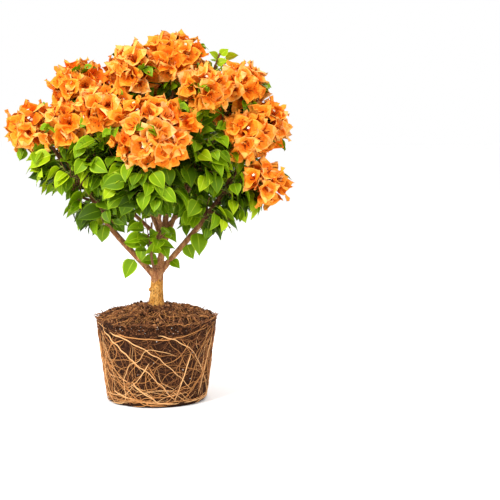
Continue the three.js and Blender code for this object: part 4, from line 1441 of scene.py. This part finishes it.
def growRoots():
    random = seededRun(4242)
    for root in [*mainRoots, *backRoots(8)]:
        addRoot(mainRun(root), root["radius"] * 0.8, 7, "pale" if random() < 0.6 else "golden")
    for kind in rootKinds:
        step, sides = (0.004, 3) if "fine" in kind else (0.005, 5)
        for index in range(kind["count"]):
            angle, place, heading = kind["start"](random, index)
            length = within(kind["lengths"], random)
            proud = within(kind["proud"], random)
            path = kind["run"](random, angle, place, heading, length, proud, step)
            radius = within(kind["radii"], random, kind.get("power", 1))
            addRoot(path, radius, sides, pickTone(random, kind["tones"]), kind.get("end", 0.45))
    for _ in range(strays["count"]):
        growStray(random)


growRoots()
rootFinishes = [plainFinish("golden root", (194, 132, 74), 0.6),
                plainFinish("pale root", (232, 177, 117), 0.6),
                plainFinish("tan root", (148, 93, 53), 0.65),
                plainFinish("brown root", (90, 53, 30), 0.7)]

# Crumbs of peat, with pale grains among them
crumbCorners = np.array([(x, y * 1.618, 0) for x in (-1, 1) for y in (-1, 1)]
                        + [(0, x, y * 1.618) for x in (-1, 1) for y in (-1, 1)]
                        + [(x * 1.618, 0, y) for x in (-1, 1) for y in (-1, 1)], dtype=float) / 1.9


def hullFaces(corners, longestEdge=1.2):
    near = np.linalg.norm(corners[:, None] - corners[None], axis=2) < longestEdge
    faces = []
    for a, b, c in itertools.combinations(range(len(corners)), 3):
        if near[a, b] and near[b, c] and near[a, c]:
            normal = np.cross(corners[b] - corners[a], corners[c] - corners[a])
            faces.append((a, b, c) if normal.dot(corners[a]) > 0 else (a, c, b))
    return np.array(faces)


crumbFaces = hullFaces(crumbCorners)
crumbHeap = Heap()


def addCrumb(place, size, random, tone):
    stretch = np.array([mix(0.6, 1.3, random()) for _ in range(3)])
    shake = np.array([mix(0.75, 1.25, random()) for _ in range(12)])[:, None]
    turn = fullTurn * random()
    spin = np.array([(math.cos(turn), -math.sin(turn), 0), (math.sin(turn), math.cos(turn), 0), (0, 0, 1)])
    crumbHeap.add(place + (crumbCorners * shake * stretch) @ spin * size, crumbFaces, tone)


def moundPlaces(random, count):
    for _ in range(count):
        yield moundPoint(fullTurn * random(), within((0.018, 0.118), random, 0.6),
                         mix(-0.0005, 0.003, random()))


def clumpPlaces(random, count):
    for _ in range(count):
        angle = fullTurn * random()
        radius = within((0.02, 0.1), random, 1.3)
        for _ in range(6):
            yield moundPoint(angle + mix(-0.1, 0.1, random()), radius + mix(-0.005, 0.005, random()),
                             mix(0, 0.006, random()))


def sidePlaces(random, count):
    for _ in range(count):
        yield sidePoint(fullTurn * random(), mix(0.006, 0.162, random()), mix(-0.0005, 0.0006, random()))


def angleInBand(random):
    half = math.radians(ball["bandHalfAngle"])
    return mix(-half, half, random())


def heightInBand(random):
    return mix(ball["bandFoot"], ball["bandTop"], random())


def bandPlaces(random, count):
    for _ in range(count):
        yield sidePoint(angleInBand(random), heightInBand(random), mix(-0.0003, 0.0012, random()))


# The more tones, the more light crumbs among the dark
crumbKinds = [
    {"places": moundPlaces, "count": 2000, "sizes": (0.0008, 0.0036), "power": 2.4, "tones": 2.6},
    {"places": clumpPlaces, "count": 110, "sizes": (0.0015, 0.0034), "power": 1, "tones": 2.6},
    {"places": sidePlaces, "count": 1400, "sizes": (0.0008, 0.002), "power": 2, "tones": 2.2},
    {"places": bandPlaces, "count": 900, "sizes": (0.0008, 0.0024), "power": 1.5, "tones": 1.7},
]
grains = {"count": 60, "sizes": (0.0005, 0.0011), "inBand": 0.6, "tone": 3}


def growCrumbs():
    random = seededRun(808)
    for kind in crumbKinds:
        for place in kind["places"](random, kind["count"]):
            size = within(kind["sizes"], random, kind["power"])
            addCrumb(place, size, random, int(random() * kind["tones"]))
    for _ in range(grains["count"]):
        inside = random() < grains["inBand"]
        angle = angleInBand(random) if inside else fullTurn * random()
        height = heightInBand(random) if inside else mix(0.02, 0.16, random())
        addCrumb(sidePoint(angle, height, 0.001), within(grains["sizes"], random), random, grains["tone"])


growCrumbs()
crumbFinishes = [plainFinish("dark crumb", (58, 35, 22), 0.95, 0.1),
                 plainFinish("brown crumb", (114, 71, 44), 0.95, 0.1),
                 plainFinish("light crumb", (166, 116, 76), 0.95, 0.1),
                 plainFinish("pale grain", (230, 224, 212), 0.8)]
pieceOf("peatBall", peatMesh(), [peat], ["root_ball"])
pieceOf("peatCrumbs", crumbHeap.mesh("peatCrumbs"), crumbFinishes, ["root_ball"])
for name, heap in rootHeaps.items():
    pieceOf(name, heap.mesh(name), rootFinishes, ["root_ball"])

# Pale floor, soft studio light, and the photograph's view
studio = {
    "floorSize": 30,
    "floorColour": (255, 255, 255),
    "worldColour": (1, 1, 1),
    "worldStrength": 1.0,
    "lamps": {
        "key": {"at": (-1.6, -2.2, 2.6), "size": 1.0, "watts": 105},
        "fill": {"at": (2.2, -1.8, 1.4), "size": 2.0, "watts": 12},
        "back": {"at": (0.4, 2.0, 2.2), "size": 1.8, "watts": 30},
    },
    "aim": (0, 0, 0.4),
}


def buildStudio():
    half = studio["floorSize"] / 2
    heap = Heap()
    heap.add(np.array([(-half, -half, 0), (half, -half, 0), (half, half, 0), (-half, half, 0)], dtype=float),
             np.array([(0, 1, 2, 3)]), 0)
    floor = placed("floor", heap.mesh("floor"))
    floor.data.materials.append(plainFinish("pale floor", studio["floorColour"], 0.9, 0.1))
    world = bpy.data.worlds.new("studio")
    world.use_nodes = True
    world.node_tree.nodes["Background"].inputs["Color"].default_value = (*studio["worldColour"], 1)
    world.node_tree.nodes["Background"].inputs["Strength"].default_value = studio["worldStrength"]
    bpy.context.scene.world = world
    for name, lamp in studio["lamps"].items():
        light = bpy.data.lights.new(name, "AREA")
        light.energy = lamp["watts"]
        light.size = lamp["size"]
        made = placed(name, light)
        made.location = lamp["at"]
        made.rotation_euler = (Vector(studio["aim"]) - made.location).to_track_quat("-Z", "Y").to_euler()


buildStudio()
bpy.context.scene.view_settings.view_transform = "Standard"
view = {"at": (0.189, -2.8, 0.61), "tilt": 90 - 6.27, "lens": 100.8, "sensor": 36}
camera = placed("camera", bpy.data.cameras.new("camera"))
camera.data.lens = view["lens"]
camera.data.sensor_width = view["sensor"]
camera.location = view["at"]
camera.rotation_euler = (math.radians(view["tilt"]), 0, 0)
bpy.context.scene.camera = camera
